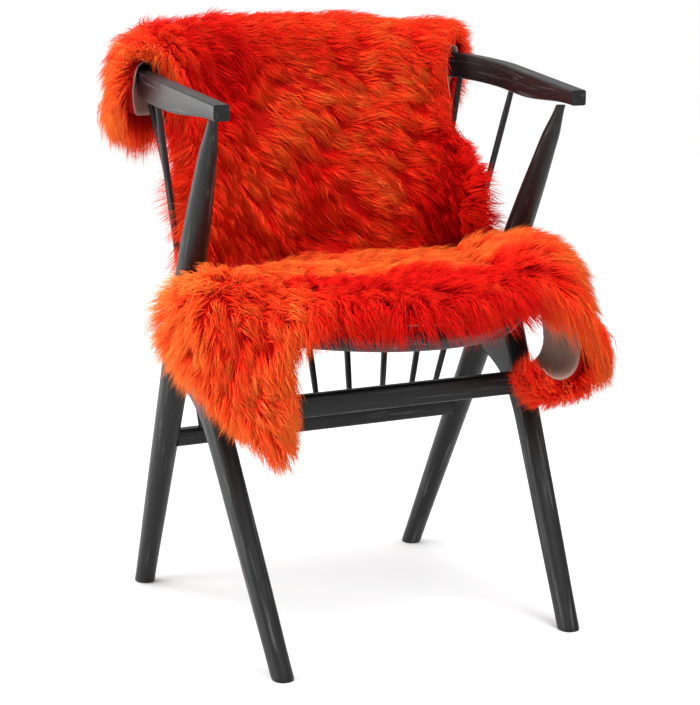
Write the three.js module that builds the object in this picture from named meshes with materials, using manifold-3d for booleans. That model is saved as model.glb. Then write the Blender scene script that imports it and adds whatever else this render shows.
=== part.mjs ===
// A long-wool sheepskin draped over an open chair with arms and a spindle back.
// Millimetres, +Z up. The chair faces -Y, and the origin is the bottom centre of the whole.
// The chair is drawn about its own plane of symmetry, x = 0, and moved to that origin at the end.

import * as THREE from 'three';
import { mergeVertices } from 'three/addons/utils/BufferGeometryUtils.js';
import Module from 'manifold-3d';

const wasm = await Module();
wasm.setup();

const { Vector2, Vector3 } = THREE;
const { lerp, smoothstep, degToRad } = THREE.MathUtils;

const GAP = 0.3; // between pieces that touch
const CLOTH_GAP = 2.2; // between the sheepskin and the wood that it passes

// Seat: a D-shaped board, elliptical in front, with a softly rounded edge.
const SEAT_HALF_WIDTH = 218;
const SEAT_FRONT = 270;
const SEAT_REAR = 142;
const SEAT_TOP = 440;
const SEAT_THICK = 30;
const SEAT_HOUSING = 3; // how far the board reaches into the back legs

// Back legs: each runs straight from the rear foot, past the seat, to the arm.
const POST_FOOT = new Vector3(220, 230, 0);
const POST_HEAD = new Vector3(253, -122, 697);
// Front legs: each meets its back leg beside the seat, in a web with a round crotch.
const FRONT_FOOT = new Vector3(213, -230, 0);
const FRONT_JOINT = new Vector3(239, -5, 425);

// Top rail: a half ellipse in plan whose ends run forward as arms. It rises towards the back.
const RAIL_WIDE = 267;
const RAIL_DEEP = 224;
const RAIL_CENTRE_Y = 32;
const RAIL_THICK = 22;
const RAIL_HIGH = 35;
const ARM_TIP_HIGH = 20.5;
const ARM_TIP = new Vector2(257, -159);
const RAIL_TIP_TOP = 719;
const RAIL_RISE = 0.12;
const ARM_TURN = 40; // plan angle, past the ellipse's 90 degrees, that stands for the arm's length
const ARM_SPLIT = 96; // plan angle where an arm is joined to the back of the rail
const JOINT_GAP = 0.07; // degrees between rail and arm
const ARM_STEPS = 8;
const BACK_STEPS = 30;

// Stretchers between the legs.
const REAR_BAR = { y: 106, low: 229, high: 253, thick: 20, halfLength: 213 };
const FRONT_BAR = { y: -68, low: 294, high: 325, thick: 18, halfLength: 215.5 };

// Spindles, from the rear bar up to the rail.
const SPINDLE_FOOT_Y = 102;
const SPINDLE_FOOT_WIDE = 196;
const SPINDLE_FOOT_RATE = 0.74; // the feet are spaced by this share of the plan angle at the rail
const SPINDLE_FOOT_R = 3.6;
const SPINDLE_R = 4.6;
const SPINDLE_PLAN_ANGLES = [-91, -64.5, -41.8, -20.1, 0, 20.1, 41.8, 64.5, 91];

// Sheepskin. s runs across it and v along it, both in millimetres on the flat skin: v is 0 at the
// crease between seat and back, positive forward over the seat, negative up the back and over the rail.
const PILE = 47;
const SKIN_OVER_SEAT = 3;
const RAIL_TO_SKIN = 16; // from the rail's centre line to the skin that passes over it
const RAIL_FOLD_DROP = 8; // the fold's centre, under the top of the rail
const SPINDLE_TO_SKIN = 9;
const BACK_LENGTH = 313; // from the crease up to the start of the fold over the rail
const CREASE_SOFTNESS = 52;
const SEAT_STRAIGHTENS = 140; // by here the rows across the seat are straight
const RIGHT_FOLD_X = 226; // where the right flap starts to fall, at y = 0
const RIGHT_FOLD_TOE = 0.13;
const LEFT_FOLD_OUT = 24; // how far past the seat's edge the left flap falls, beside the back leg
const LOCK_DROOP = 0.5;
const COLUMNS = 34;
const ROWS = 50;
const LOCK_LONG = 40; // how far a lock at the rim stands out
const LOCK_SHORT = 24;

const SIDES_LEG = 16;
const SIDES_SPINDLE = 8;
const SIDES_BAR = 12;

// Radius of a back leg at each height: slim foot, full at the seat, drawn in to a neck under the arm.
const POST_RADII = [
  { z: 0, r: 14.2 }, { z: 150, r: 16.4 }, { z: 300, r: 18.6 }, { z: 430, r: 20 }, { z: 502, r: 18.8 },
  { z: 572, r: 16.5 }, { z: 626, r: 13.4 }, { z: 658, r: 11.4 }, { z: 676, r: 8.6 }, { z: 697, r: 6.2 },
];

// Front leg by height: half thickness in front of and behind its axis, and across it. The back grows
// into the web that meets the back leg.
const FRONT_LEG_ROWS = [
  { z: 0, front: 15.2, back: 15.2, across: 14.2 }, { z: 130, front: 17, back: 17, across: 15.6 },
  { z: 260, front: 18.6, back: 19, across: 16.8 }, { z: 296, front: 19, back: 27, across: 17.2 },
  { z: 318, front: 19.4, back: 44, across: 17.4 }, { z: 332, front: 19.6, back: 68, across: 17.6 },
  { z: 344, front: 19.8, back: 96, across: 17.8 }, { z: 400, front: 20.4, back: 70, across: 18 },
  { z: 452, front: 20.6, back: 50, across: 18 },
];

// Half-width of the skin on either side of its middle, at places along it: lobes at the four legs,
// waists at the rail and between the chair's back legs.
const WIDTH_ROWS = [
  { v: -480, left: 292, right: 214 }, { v: -425, left: 338, right: 238 }, { v: -372, left: 352, right: 256 },
  { v: -338, left: 324, right: 262 }, { v: -305, left: 290, right: 262 }, { v: -220, left: 262, right: 262 },
  { v: -170, left: 258, right: 318 }, { v: -120, left: 270, right: 366 }, { v: -60, left: 280, right: 364 },
  { v: 0, left: 262, right: 312 }, { v: 60, left: 232, right: 246 }, { v: 140, left: 212, right: 212 },
  { v: 172, left: 214, right: 216 }, { v: 208, left: 276, right: 282 }, { v: 250, left: 298, right: 350 },
  { v: 290, left: 302, right: 390 }, { v: 330, left: 300, right: 398 }, { v: 440, left: 286, right: 394 },
];
const END_ROW_V = -440; // widths here place the columns along the hanging rear end
const FRONT_ROW_V = 380; // and here along the front end

// Where the skin ends in front, across it: the left lobe, a notch, the seat's edge, the right lobe.
const FRONT_EDGE = [
  { s: -296, v: 418 }, { s: -274, v: 440 }, { s: -240, v: 426 }, { s: -208, v: 382 }, { s: -180, v: 356 },
  { s: -150, v: 364 }, { s: -100, v: 388 }, { s: 0, v: 418 }, { s: 100, v: 388 }, { s: 145, v: 352 },
  { s: 175, v: 338 }, { s: 230, v: 338 }, { s: 310, v: 352 }, { s: 396, v: 360 },
];
// Where it ends behind the rail: two lobes with the tail between them.
const REAR_EDGE = [
  { s: -352, v: -408 }, { s: -300, v: -430 }, { s: -215, v: -470 }, { s: -100, v: -466 }, { s: 0, v: -460 },
  { s: 100, v: -474 }, { s: 180, v: -488 }, { s: 250, v: -440 },
];

// Depth of pile along the skin, as a share of PILE: parted over the rail, pressed in the crease.
const PILE_ROWS = [
  { v: -500, share: 0.95 }, { v: -400, share: 1.04 }, { v: -338, share: 0.78 }, { v: -290, share: 0.92 },
  { v: -120, share: 0.96 }, { v: -50, share: 0.62 }, { v: 0, share: 0.36 }, { v: 60, share: 0.7 },
  { v: 130, share: 1 }, { v: 300, share: 1.04 }, { v: 450, share: 1 },
];

// How each front flap falls: its slope below level at each distance past the fold.
const LEFT_FALL = [
  { d: -24, slope: 0 }, { d: 0, slope: 16 }, { d: 30, slope: 64 }, { d: 60, slope: 82 }, { d: 220, slope: 88 },
];
const RIGHT_FALL = [
  { d: -80, slope: 0 }, { d: -50, slope: -22 }, { d: -15, slope: -8 }, { d: 10, slope: 12 }, { d: 45, slope: 48 },
  { d: 84, slope: 66 }, { d: 130, slope: 94 }, { d: 162, slope: 152 }, { d: 194, slope: 195 }, { d: 240, slope: 205 },
];
const FALL_STEP = 2;
// Where the skin stands off the seat beside the back legs, in plan.
const BUCKLES = [{ x: -240, y: -82, high: 16, wide: 58 }, { x: 238, y: -84, high: 12, wide: 62 }];

const BLACK_WOOD = { color: 0x17181a, roughness: 0.45, metalness: 0 };
const ORANGE_WOOL = { color: 0xe8380c, roughness: 0.9, metalness: 0 };

// Value of a table's column at x, with a smooth curve through the rows.
function along(rows, key, column, x) {
  const last = rows.length - 1;
  if (x <= rows[0][key]) return rows[0][column];
  if (x >= rows[last][key]) return rows[last][column];
  let i = 0;
  while (rows[i + 1][key] < x) i += 1;
  const slopeAt = (k) => {
    if (k === 0 || k === last) return 0;
    const before = (rows[k][column] - rows[k - 1][column]) / (rows[k][key] - rows[k - 1][key]);
    const after = (rows[k + 1][column] - rows[k][column]) / (rows[k + 1][key] - rows[k][key]);
    return before * after <= 0 ? 0 : (2 * before * after) / (before + after);
  };
  const span = rows[i + 1][key] - rows[i][key];
  const t = (x - rows[i][key]) / span;
  const t2 = t * t;
  const t3 = t2 * t;
  return (2 * t3 - 3 * t2 + 1) * rows[i][column] + (t3 - 2 * t2 + t) * span * slopeAt(i)
    + (3 * t2 - 2 * t3) * rows[i + 1][column] + (t3 - t2) * span * slopeAt(i + 1);
}

// A closed body of triangles on shared points, without slivers, its faces outward.
function closedBody(geometry) {
  const bare = geometry.clone();
  for (const name of Object.keys(bare.attributes)) {
    if (name !== 'position') bare.deleteAttribute(name);
  }
  const merged = mergeVertices(bare, 1e-3);
  const index = merged.index.array;
  const kept = [];
  for (let i = 0; i < index.length; i += 3) {
    const [a, b, c] = [index[i], index[i + 1], index[i + 2]];
    if (a !== b && b !== c && c !== a) kept.push(a, b, c);
  }
  const position = merged.attributes.position;
  const [p, q, r] = [new Vector3(), new Vector3(), new Vector3()];
  let volume = 0;
  for (let i = 0; i < kept.length; i += 3) {
    p.fromBufferAttribute(position, kept[i]);
    q.fromBufferAttribute(position, kept[i + 1]);
    r.fromBufferAttribute(position, kept[i + 2]);
    volume += p.dot(q.cross(r));
  }
  merged.setIndex(volume < 0 ? kept.reverse() : kept);
  return merged;
}

function toSolid(geometry) {
  const body = closedBody(geometry);
  return new wasm.Manifold(new wasm.Mesh({
    numProp: 3,
    vertProperties: new Float32Array(body.attributes.position.array),
    triVerts: new Uint32Array(body.index.array),
  }));
}

function fromSolid(solid) {
  const mesh = solid.getMesh();
  const geometry = new THREE.BufferGeometry();
  geometry.setAttribute('position', new THREE.BufferAttribute(new Float32Array(mesh.vertProperties), 3));
  geometry.setIndex(Array.from(mesh.triVerts));
  return geometry;
}

function cutAway(geometry, ...others) {
  return fromSolid(others.reduce((solid, other) => solid.subtract(toSolid(other)), toSolid(geometry)));
}

// Skin between closed rings of equal count, with a fan over each end.
function loft(rings) {
  const count = rings[0].length;
  const points = rings.flat();
  const faces = [];
  for (let i = 0; i < rings.length - 1; i += 1) {
    for (let j = 0; j < count; j += 1) {
      const [a, b] = [i * count + j, i * count + ((j + 1) % count)];
      faces.push(a, b, b + count, a, b + count, a + count);
    }
  }
  for (const [row, turned] of [[0, true], [rings.length - 1, false]]) {
    const centre = rings[row].reduce((sum, p) => sum.add(p), new Vector3()).divideScalar(count);
    points.push(centre);
    for (let j = 0; j < count; j += 1) {
      const [a, b] = [row * count + j, row * count + ((j + 1) % count)];
      faces.push(points.length - 1, turned ? b : a, turned ? a : b);
    }
  }
  const geometry = new THREE.BufferGeometry().setFromPoints(points);
  geometry.setIndex(faces);
  return geometry;
}

// Points round a rounded rectangle, as pairs of shares from -1 to 1. A high power squares it.
function roundedRing(count, power) {
  const share = (w) => Math.sign(w) * Math.abs(w) ** (2 / power);
  return Array.from({ length: count }, (_, k) => {
    const turn = ((k + 0.5) / count) * 2 * Math.PI;
    return [share(Math.cos(turn)), share(Math.sin(turn))];
  });
}

const between = (low, high, z) => new Vector3().lerpVectors(low, high, (z - low.z) / (high.z - low.z));

// A turned leg along a slanted axis: level cuts, so that the foot is flat on the floor.
function backLeg(side, swell = 0) {
  const slant = POST_HEAD.clone().sub(POST_FOOT).divideScalar(POST_HEAD.z);
  const [steepX, steepY] = [Math.hypot(1, slant.x), Math.hypot(1, slant.y)];
  const top = POST_HEAD.z + swell;
  const low = -swell;
  const profile = [
    new Vector2(0, low),
    ...POST_RADII.map(({ z, r }) => new Vector2(r + swell, z === 0 ? low : z)),
    new Vector2(POST_RADII.at(-1).r + swell, top),
    new Vector2(0, top),
  ];
  const leg = new THREE.LatheGeometry(profile, SIDES_LEG).rotateX(Math.PI / 2);
  leg.applyMatrix4(new THREE.Matrix4().set(
    steepX, 0, slant.x, POST_FOOT.x,
    0, steepY, slant.y, POST_FOOT.y,
    0, 0, 1, 0,
    0, 0, 0, 1,
  ));
  return side < 0 ? leg.scale(-1, 1, 1) : leg;
}

// The front leg leans back into the web and stops at the back leg's middle plane.
function frontLeg(side, swell = 0) {
  const ring = roundedRing(SIDES_LEG, 2.3);
  const rings = FRONT_LEG_ROWS.map(({ z, front, back, across }) => {
    const axis = between(FRONT_FOOT, FRONT_JOINT, z);
    return ring.map(([u, w]) => new Vector3(
      side * (axis.x + (across + swell) * u),
      axis.y + ((w < 0 ? front : back) + swell) * w,
      z,
    ));
  });
  const depth = 200;
  const behind = new THREE.BoxGeometry(depth, depth, 2 * POST_HEAD.z);
  behind.translate(0, depth / 2, 0);
  behind.rotateX(Math.atan2(POST_FOOT.y - POST_HEAD.y, POST_HEAD.z));
  const middle = between(POST_FOOT, POST_HEAD, FRONT_JOINT.z);
  behind.translate(side * middle.x, middle.y, middle.z);
  return cutAway(loft(rings), backLeg(side, GAP), behind);
}

// The rail's centre line in plan, at a plan angle in degrees measured from the middle of the back.
function railPlan(angle, offset = 0) {
  const turn = Math.abs(angle);
  const hand = Math.sign(angle) || 1;
  if (turn <= 90) {
    const a = degToRad(turn);
    return new Vector2(hand * (RAIL_WIDE + offset) * Math.sin(a), RAIL_CENTRE_Y + (RAIL_DEEP + offset) * Math.cos(a));
  }
  const part = (turn - 90) / ARM_TURN;
  return new Vector2(
    hand * (lerp(RAIL_WIDE, ARM_TIP.x, part) + offset),
    lerp(RAIL_CENTRE_Y, ARM_TIP.y, part),
  );
}

const railTop = (y) => RAIL_TIP_TOP + RAIL_RISE * (y - ARM_TIP.y);
const railHigh = (y) => lerp(ARM_TIP_HIGH, RAIL_HIGH, smoothstep(y, ARM_TIP.y, ARM_TIP.y + 150));

// One stretch of the rail, between two plan angles.
function railStretch(from, to, steps, swell = 0) {
  const ring = roundedRing(SIDES_BAR, 4);
  const rings = [];
  for (let k = 0; k <= steps; k += 1) {
    const angle = lerp(from, to, k / steps);
    const centre = railPlan(angle);
    const ahead = railPlan(angle + 0.5).sub(railPlan(angle - 0.5)).normalize();
    const [top, high] = [railTop(centre.y), railHigh(centre.y)];
    rings.push(ring.map(([u, w]) => new Vector3(
      centre.x + ahead.y * u * (RAIL_THICK / 2 + swell),
      centre.y - ahead.x * u * (RAIL_THICK / 2 + swell),
      top - high / 2 + w * (high / 2 + swell),
    )));
  }
  return loft(rings);
}

// Foot of a spindle, or a point of the sheepskin's back at the same plan angle, on the rear bar.
const footPlan = (angle, offset = 0) => new Vector2(
  (SPINDLE_FOOT_WIDE + 0.6 * offset) * Math.sin(degToRad(SPINDLE_FOOT_RATE * angle)),
  SPINDLE_FOOT_Y + offset,
);

function spindle(angle, swell = 0) {
  const foot = footPlan(angle);
  const head = railPlan(angle);
  const low = new Vector3(foot.x, foot.y, REAR_BAR.high + GAP);
  const high = new Vector3(head.x, head.y, railTop(head.y) - RAIL_HIGH - GAP);
  const shape = [{ part: 0, r: SPINDLE_FOOT_R }, { part: 0.12, r: SPINDLE_R }, { part: 0.9, r: SPINDLE_R }, { part: 1, r: 4 }];
  const ring = roundedRing(SIDES_SPINDLE, 2);
  return loft(shape.map(({ part, r }) => {
    const centre = new Vector3().lerpVectors(low, high, part);
    return ring.map(([u, w]) => new Vector3(centre.x + (r + swell) * u, centre.y + (r + swell) * w, centre.z));
  }));
}

// A straight bar from leg to leg, its ends cut to the legs.
function stretcher({ y, low, high, thick, halfLength }, cutters) {
  const ring = roundedRing(SIDES_BAR, 4);
  const section = (x) => ring.map(([u, w]) => new Vector3(
    x, y + (u * thick) / 2, (low + high) / 2 + (w * (high - low)) / 2,
  ));
  return cutAway(loft([-halfLength - 8, 0, halfLength + 8].map(section)), ...cutters);
}

// Distance from the seat's middle to its edge, as a share: 1 on the edge, more outside.
function seatShare(x, y) {
  const power = y < 0 ? 2 : 2.4;
  const deep = y < 0 ? SEAT_FRONT : SEAT_REAR;
  return (Math.abs(x / SEAT_HALF_WIDTH) ** power + Math.abs(y / deep) ** power) ** (1 / power);
}

function seatBoard() {
  const edge = [
    { drop: SEAT_THICK, inset: 16 }, { drop: SEAT_THICK - 6, inset: 5 }, { drop: SEAT_THICK / 2, inset: 0 },
    { drop: 6, inset: 4 }, { drop: 0, inset: 14 },
  ];
  const around = 56;
  const rings = edge.map(({ drop, inset }) => Array.from({ length: around }, (_, k) => {
    const turn = (k / around) * 2 * Math.PI;
    const [x, y] = [Math.cos(turn), Math.sin(turn)];
    const reach = 1 / seatShare(x, y) + SEAT_HOUSING * Math.abs(x) ** 8 - inset;
    return new Vector3(x * reach, y * reach, SEAT_TOP - drop);
  }));
  return cutAway(loft(rings), backLeg(-1, GAP), backLeg(1, GAP));
}

// Sum of a flap's fall out to a distance: how far out and how far down it has gone.
function fall(rows, distance) {
  let [out, down] = [rows[0].d, 0];
  if (distance <= out) return { out: distance, down };
  const steps = Math.ceil((distance - rows[0].d) / FALL_STEP);
  const step = (distance - rows[0].d) / steps;
  for (let k = 0; k < steps; k += 1) {
    const slope = degToRad(along(rows, 'd', 'slope', rows[0].d + (k + 0.5) * step));
    out += step * Math.cos(slope);
    down += step * Math.sin(slope);
  }
  return { out, down };
}

// Plan point of the back at a plan angle and height: the rail's curve above, the spindle feet's below.
function backPlan(angle, z, offset) {
  const part = THREE.MathUtils.clamp((734 - z) / (734 - REAR_BAR.high), 0, 1);
  return railPlan(angle, offset).lerp(footPlan(angle, offset), part);
}

const angleAcross = (s, z) => {
  const part = THREE.MathUtils.clamp((734 - z) / (734 - REAR_BAR.high), 0, 1);
  return (s / lerp(245, 162, part)) * (180 / Math.PI);
};

// A point on the leather side of the skin, for flat places s across and v along.
function skinPoint(s, v) {
  const soft = Math.hypot(v, CREASE_SOFTNESS);
  const forward = (soft + v) / 2;
  const up = (soft - v) / 2;
  const level = SEAT_TOP + SKIN_OVER_SEAT;
  const crease = backPlan(angleAcross(s, level), level, -SPINDLE_TO_SKIN);

  // Up the back, over the rail and down behind it.
  const railY = railPlan(angleAcross(s, RAIL_TIP_TOP + RAIL_HIGH)).y;
  const foldZ = railTop(railY) - RAIL_FOLD_DROP;
  const foldTurn = THREE.MathUtils.clamp((up - BACK_LENGTH) / RAIL_TO_SKIN, 0, Math.PI);
  const behind = Math.max(0, up - BACK_LENGTH - Math.PI * RAIL_TO_SKIN);
  const z = lerp(level, foldZ, Math.min(1, up / BACK_LENGTH)) + RAIL_TO_SKIN * Math.sin(foldTurn) - behind;
  const besideRail = smoothstep(up, BACK_LENGTH - 60, BACK_LENGTH - 20);
  const offset = foldTurn > 0 ? -RAIL_TO_SKIN * Math.cos(foldTurn) : -lerp(SPINDLE_TO_SKIN, RAIL_TO_SKIN, besideRail);
  const place = backPlan(angleAcross(s, foldTurn > 0 ? foldZ : z), foldTurn > 0 ? foldZ : z, offset);

  // Forward over the seat: rows straighten from the crease's curve, then flaps fall past the edge.
  const straight = smoothstep(forward, 0, SEAT_STRAIGHTENS);
  const front = new Vector2(
    lerp(crease.x, s, straight),
    lerp(crease.y - forward, backPlan(0, level, -SPINDLE_TO_SKIN).y - forward, straight),
  );
  let sink = 0;
  if (front.y < 0) {
    const share = seatShare(front.x, front.y);
    const edge = front.clone().divideScalar(share);
    const foldAt = edge.length() + LEFT_FOLD_OUT * smoothstep(front.y, -200, -70);
    const left = fall(LEFT_FALL, front.length() - foldAt);
    const leftPlace = edge.clone().setLength(foldAt + left.out);
    const foldX = RIGHT_FOLD_X + RIGHT_FOLD_TOE * front.y;
    const right = fall(RIGHT_FALL, front.x - foldX);
    const rightPlace = new Vector2(foldX + right.out, front.y);
    const toRight = smoothstep(front.x, -60, 60);
    front.lerpVectors(leftPlace, rightPlace, toRight);
    sink = lerp(left.down, right.down, toRight);
    for (const { x, y, high, wide } of BUCKLES) {
      sink -= high * Math.exp(-((front.x - x) ** 2 + (front.y - y) ** 2) / wide ** 2);
    }
  }

  // The two meet in the soft crease: far from it only one of them counts.
  const lean = place.clone().sub(crease);
  return new Vector3(front.x + lean.x, front.y + lean.y, z - sink);
}

// Half-width of the skin, and its place at shares a across (-1 to 1) and t along (0 rear, 1 front).
const halfWidth = (v, a) => along(WIDTH_ROWS, 'v', a < 0 ? 'left' : 'right', v);
function flatPlace(a, t) {
  const rear = along(REAR_EDGE, 's', 'v', a * halfWidth(END_ROW_V, a));
  const front = along(FRONT_EDGE, 's', 'v', a * halfWidth(FRONT_ROW_V, a));
  const v = lerp(rear, front, t);
  return { s: a * halfWidth(v, a), v };
}

const DOWN = new Vector3(0, 0, -1);

// Soft lumps where locks gather.
const lump = (s, v) => 1
  + 0.07 * Math.sin(s / 23 + 1.3 * Math.sin(v / 41))
  + 0.06 * Math.sin(v / 19 + 1.7 * Math.sin(s / 37 + 0.6));

// The sheepskin as one solid: leather face, top of the pile, and a rim of locks between them.
function sheepskin() {
  const at = (i, j) => i * (COLUMNS + 1) + j;
  const places = [];
  for (let i = 0; i <= ROWS; i += 1) {
    for (let j = 0; j <= COLUMNS; j += 1) places.push(flatPlace((2 * j) / COLUMNS - 1, i / ROWS));
  }
  const skin = places.map(({ s, v }) => skinPoint(s, v));
  const step = 4;
  const normals = places.map(({ s, v }) => {
    const alongV = skinPoint(s, v + step).sub(skinPoint(s, v - step));
    const acrossS = skinPoint(s + step, v).sub(skinPoint(s - step, v));
    return alongV.cross(acrossS).normalize();
  });
  const deep = places.map(({ s, v }) => PILE * along(PILE_ROWS, 'v', 'share', v) * lump(s, v));

  const rim = [];
  for (let j = 0; j < COLUMNS; j += 1) rim.push([0, j, 1, j]);
  for (let i = 0; i < ROWS; i += 1) rim.push([i, COLUMNS, i, COLUMNS - 1]);
  for (let j = COLUMNS; j > 0; j -= 1) rim.push([ROWS, j, ROWS - 1, j]);
  for (let i = ROWS; i > 0; i -= 1) rim.push([i, 0, i, 1]);

  const points = [...skin];
  const topStart = points.length;
  skin.forEach((p, k) => points.push(p.clone().addScaledVector(normals[k], deep[k])));
  const lockStart = points.length;
  rim.forEach(([i, j, inI, inJ], k) => {
    const edge = at(i, j);
    const outward = skin[edge].clone().sub(skin[at(inI, inJ)]).normalize();
    const before = skin[at(...rim[(k + rim.length - 1) % rim.length].slice(0, 2))];
    const after = skin[at(...rim[(k + 1) % rim.length].slice(0, 2))];
    const corner = skin[edge].clone().sub(before.clone().add(after).divideScalar(2));
    outward.addScaledVector(corner, 0.02).normalize();
    points[topStart + edge].addScaledVector(outward, 6).addScaledVector(normals[edge], -0.25 * deep[edge]);
    const reach = k % 2 ? LOCK_LONG : LOCK_SHORT;
    points.push(skin[edge].clone()
      .addScaledVector(outward, reach)
      .addScaledVector(DOWN, LOCK_DROOP * reach * Math.max(0, normals[edge].z))
      .addScaledVector(normals[edge], 0.3 * deep[edge]));
  });

  const faces = [];
  for (let i = 0; i < ROWS; i += 1) {
    for (let j = 0; j < COLUMNS; j += 1) {
      const [a, b, c, d] = [at(i, j), at(i, j + 1), at(i + 1, j + 1), at(i + 1, j)];
      faces.push(a, b, c, a, c, d);
      faces.push(topStart + a, topStart + c, topStart + b, topStart + a, topStart + d, topStart + c);
    }
  }
  rim.forEach(([i, j], k) => {
    const next = (k + 1) % rim.length;
    const [a, b] = [at(i, j), at(rim[next][0], rim[next][1])];
    const [la, lb] = [lockStart + k, lockStart + next];
    faces.push(a, lb, b, a, la, lb);
    faces.push(topStart + a, topStart + b, lb, topStart + a, lb, la);
  });
  const slab = new THREE.BufferGeometry().setFromPoints(points);
  slab.setIndex(faces);

  // It passes the wood with a little room, and stays one piece.
  const wood = [
    railStretch(-90 - ARM_TURN, 90 + ARM_TURN, 40, CLOTH_GAP),
    ...[-1, 1].flatMap((side) => [backLeg(side, CLOTH_GAP), frontLeg(side, CLOTH_GAP)]),
    ...SPINDLE_PLAN_ANGLES.map((angle) => spindle(angle, CLOTH_GAP)),
  ];
  const pieces = toSolid(cutAway(slab, ...wood)).decompose();
  return fromSolid(pieces.reduce((most, piece) => (piece.volume() > most.volume() ? piece : most)));
}

const chairAndSkin = new THREE.Group();
function add(name, geometry, finish) {
  const mesh = new THREE.Mesh(closedBody(geometry), new THREE.MeshStandardMaterial(finish));
  mesh.name = name;
  chairAndSkin.add(mesh);
}

for (const [side, hand] of [[-1, 'left'], [1, 'right']]) {
  add(`leg_back_${hand}`, backLeg(side), BLACK_WOOD);
  add(`leg_front_${hand}`, frontLeg(side), BLACK_WOOD);
}
add('seat', seatBoard(), BLACK_WOOD);
add('arm_left', railStretch(-90 - ARM_TURN, -ARM_SPLIT - JOINT_GAP, ARM_STEPS), BLACK_WOOD);
add('back_rail', railStretch(-ARM_SPLIT, ARM_SPLIT, BACK_STEPS), BLACK_WOOD);
add('arm_right', railStretch(ARM_SPLIT + JOINT_GAP, 90 + ARM_TURN, ARM_STEPS), BLACK_WOOD);
add('stretcher_rear', stretcher(REAR_BAR, [backLeg(-1, GAP), backLeg(1, GAP)]), BLACK_WOOD);
add('stretcher_front', stretcher(FRONT_BAR, [frontLeg(-1, GAP), frontLeg(1, GAP)]), BLACK_WOOD);
SPINDLE_PLAN_ANGLES.forEach((angle, k) => add(`spindle_${k + 1}`, spindle(angle), BLACK_WOOD));
add('sheepskin', sheepskin(), ORANGE_WOOL);

// The origin is the bottom centre of the whole.
const box = new THREE.Box3().setFromObject(chairAndSkin);
chairAndSkin.position.set(-(box.min.x + box.max.x) / 2, -(box.min.y + box.max.y) / 2, -box.min.z);

export default chairAndSkin;
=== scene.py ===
"""A long-wool sheepskin, dyed orange-red, over the rail, spindles and seat of an open black wooden chair.

Metres, +Z up. The chair faces -Y. Shapes are worked out about the chair's own origin, on the floor in its
plane of symmetry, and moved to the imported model's origin as they become meshes.
"""

import math

import bpy
import numpy as np
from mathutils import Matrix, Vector


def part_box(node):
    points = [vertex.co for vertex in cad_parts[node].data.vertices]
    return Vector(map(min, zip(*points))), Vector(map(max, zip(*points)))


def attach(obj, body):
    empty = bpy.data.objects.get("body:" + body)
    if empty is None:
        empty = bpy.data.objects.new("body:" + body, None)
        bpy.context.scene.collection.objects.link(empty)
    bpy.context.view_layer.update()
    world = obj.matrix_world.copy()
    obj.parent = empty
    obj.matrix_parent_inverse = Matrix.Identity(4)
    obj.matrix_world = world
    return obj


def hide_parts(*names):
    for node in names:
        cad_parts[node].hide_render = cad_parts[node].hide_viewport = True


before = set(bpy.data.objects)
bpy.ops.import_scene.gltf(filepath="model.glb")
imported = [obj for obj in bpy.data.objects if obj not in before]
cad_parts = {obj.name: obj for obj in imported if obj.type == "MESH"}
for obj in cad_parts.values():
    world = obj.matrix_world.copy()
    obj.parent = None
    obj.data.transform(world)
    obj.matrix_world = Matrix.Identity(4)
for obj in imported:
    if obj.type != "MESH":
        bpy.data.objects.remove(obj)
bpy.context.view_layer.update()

# Camera. It stands where the photograph was taken from, worked out from points that match across the
# chair's plane of symmetry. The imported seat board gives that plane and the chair's own origin.
SEAT_FRONT = 0.270
seat_low, seat_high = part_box("seat")
CHAIR_ORIGIN = np.array([(seat_low.x + seat_high.x) / 2, seat_low.y + SEAT_FRONT, 0])
CAMERA_PLACE = np.array([-1.2584, -2.4833, 0.9295])
CAMERA_TURN = math.radians(-26.84)
CAMERA_DIP = math.radians(11.57)
CAMERA_SENSOR = 36
CAMERA_LENS = 105.97

camera = bpy.data.objects.new("camera", bpy.data.cameras.new("camera"))
camera.location = CAMERA_PLACE + CHAIR_ORIGIN
camera.rotation_euler = (math.pi / 2 - CAMERA_DIP, 0, CAMERA_TURN)
camera.data.sensor_width = CAMERA_SENSOR
camera.data.lens = CAMERA_LENS
bpy.context.scene.collection.objects.link(camera)
bpy.context.scene.camera = camera


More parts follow.
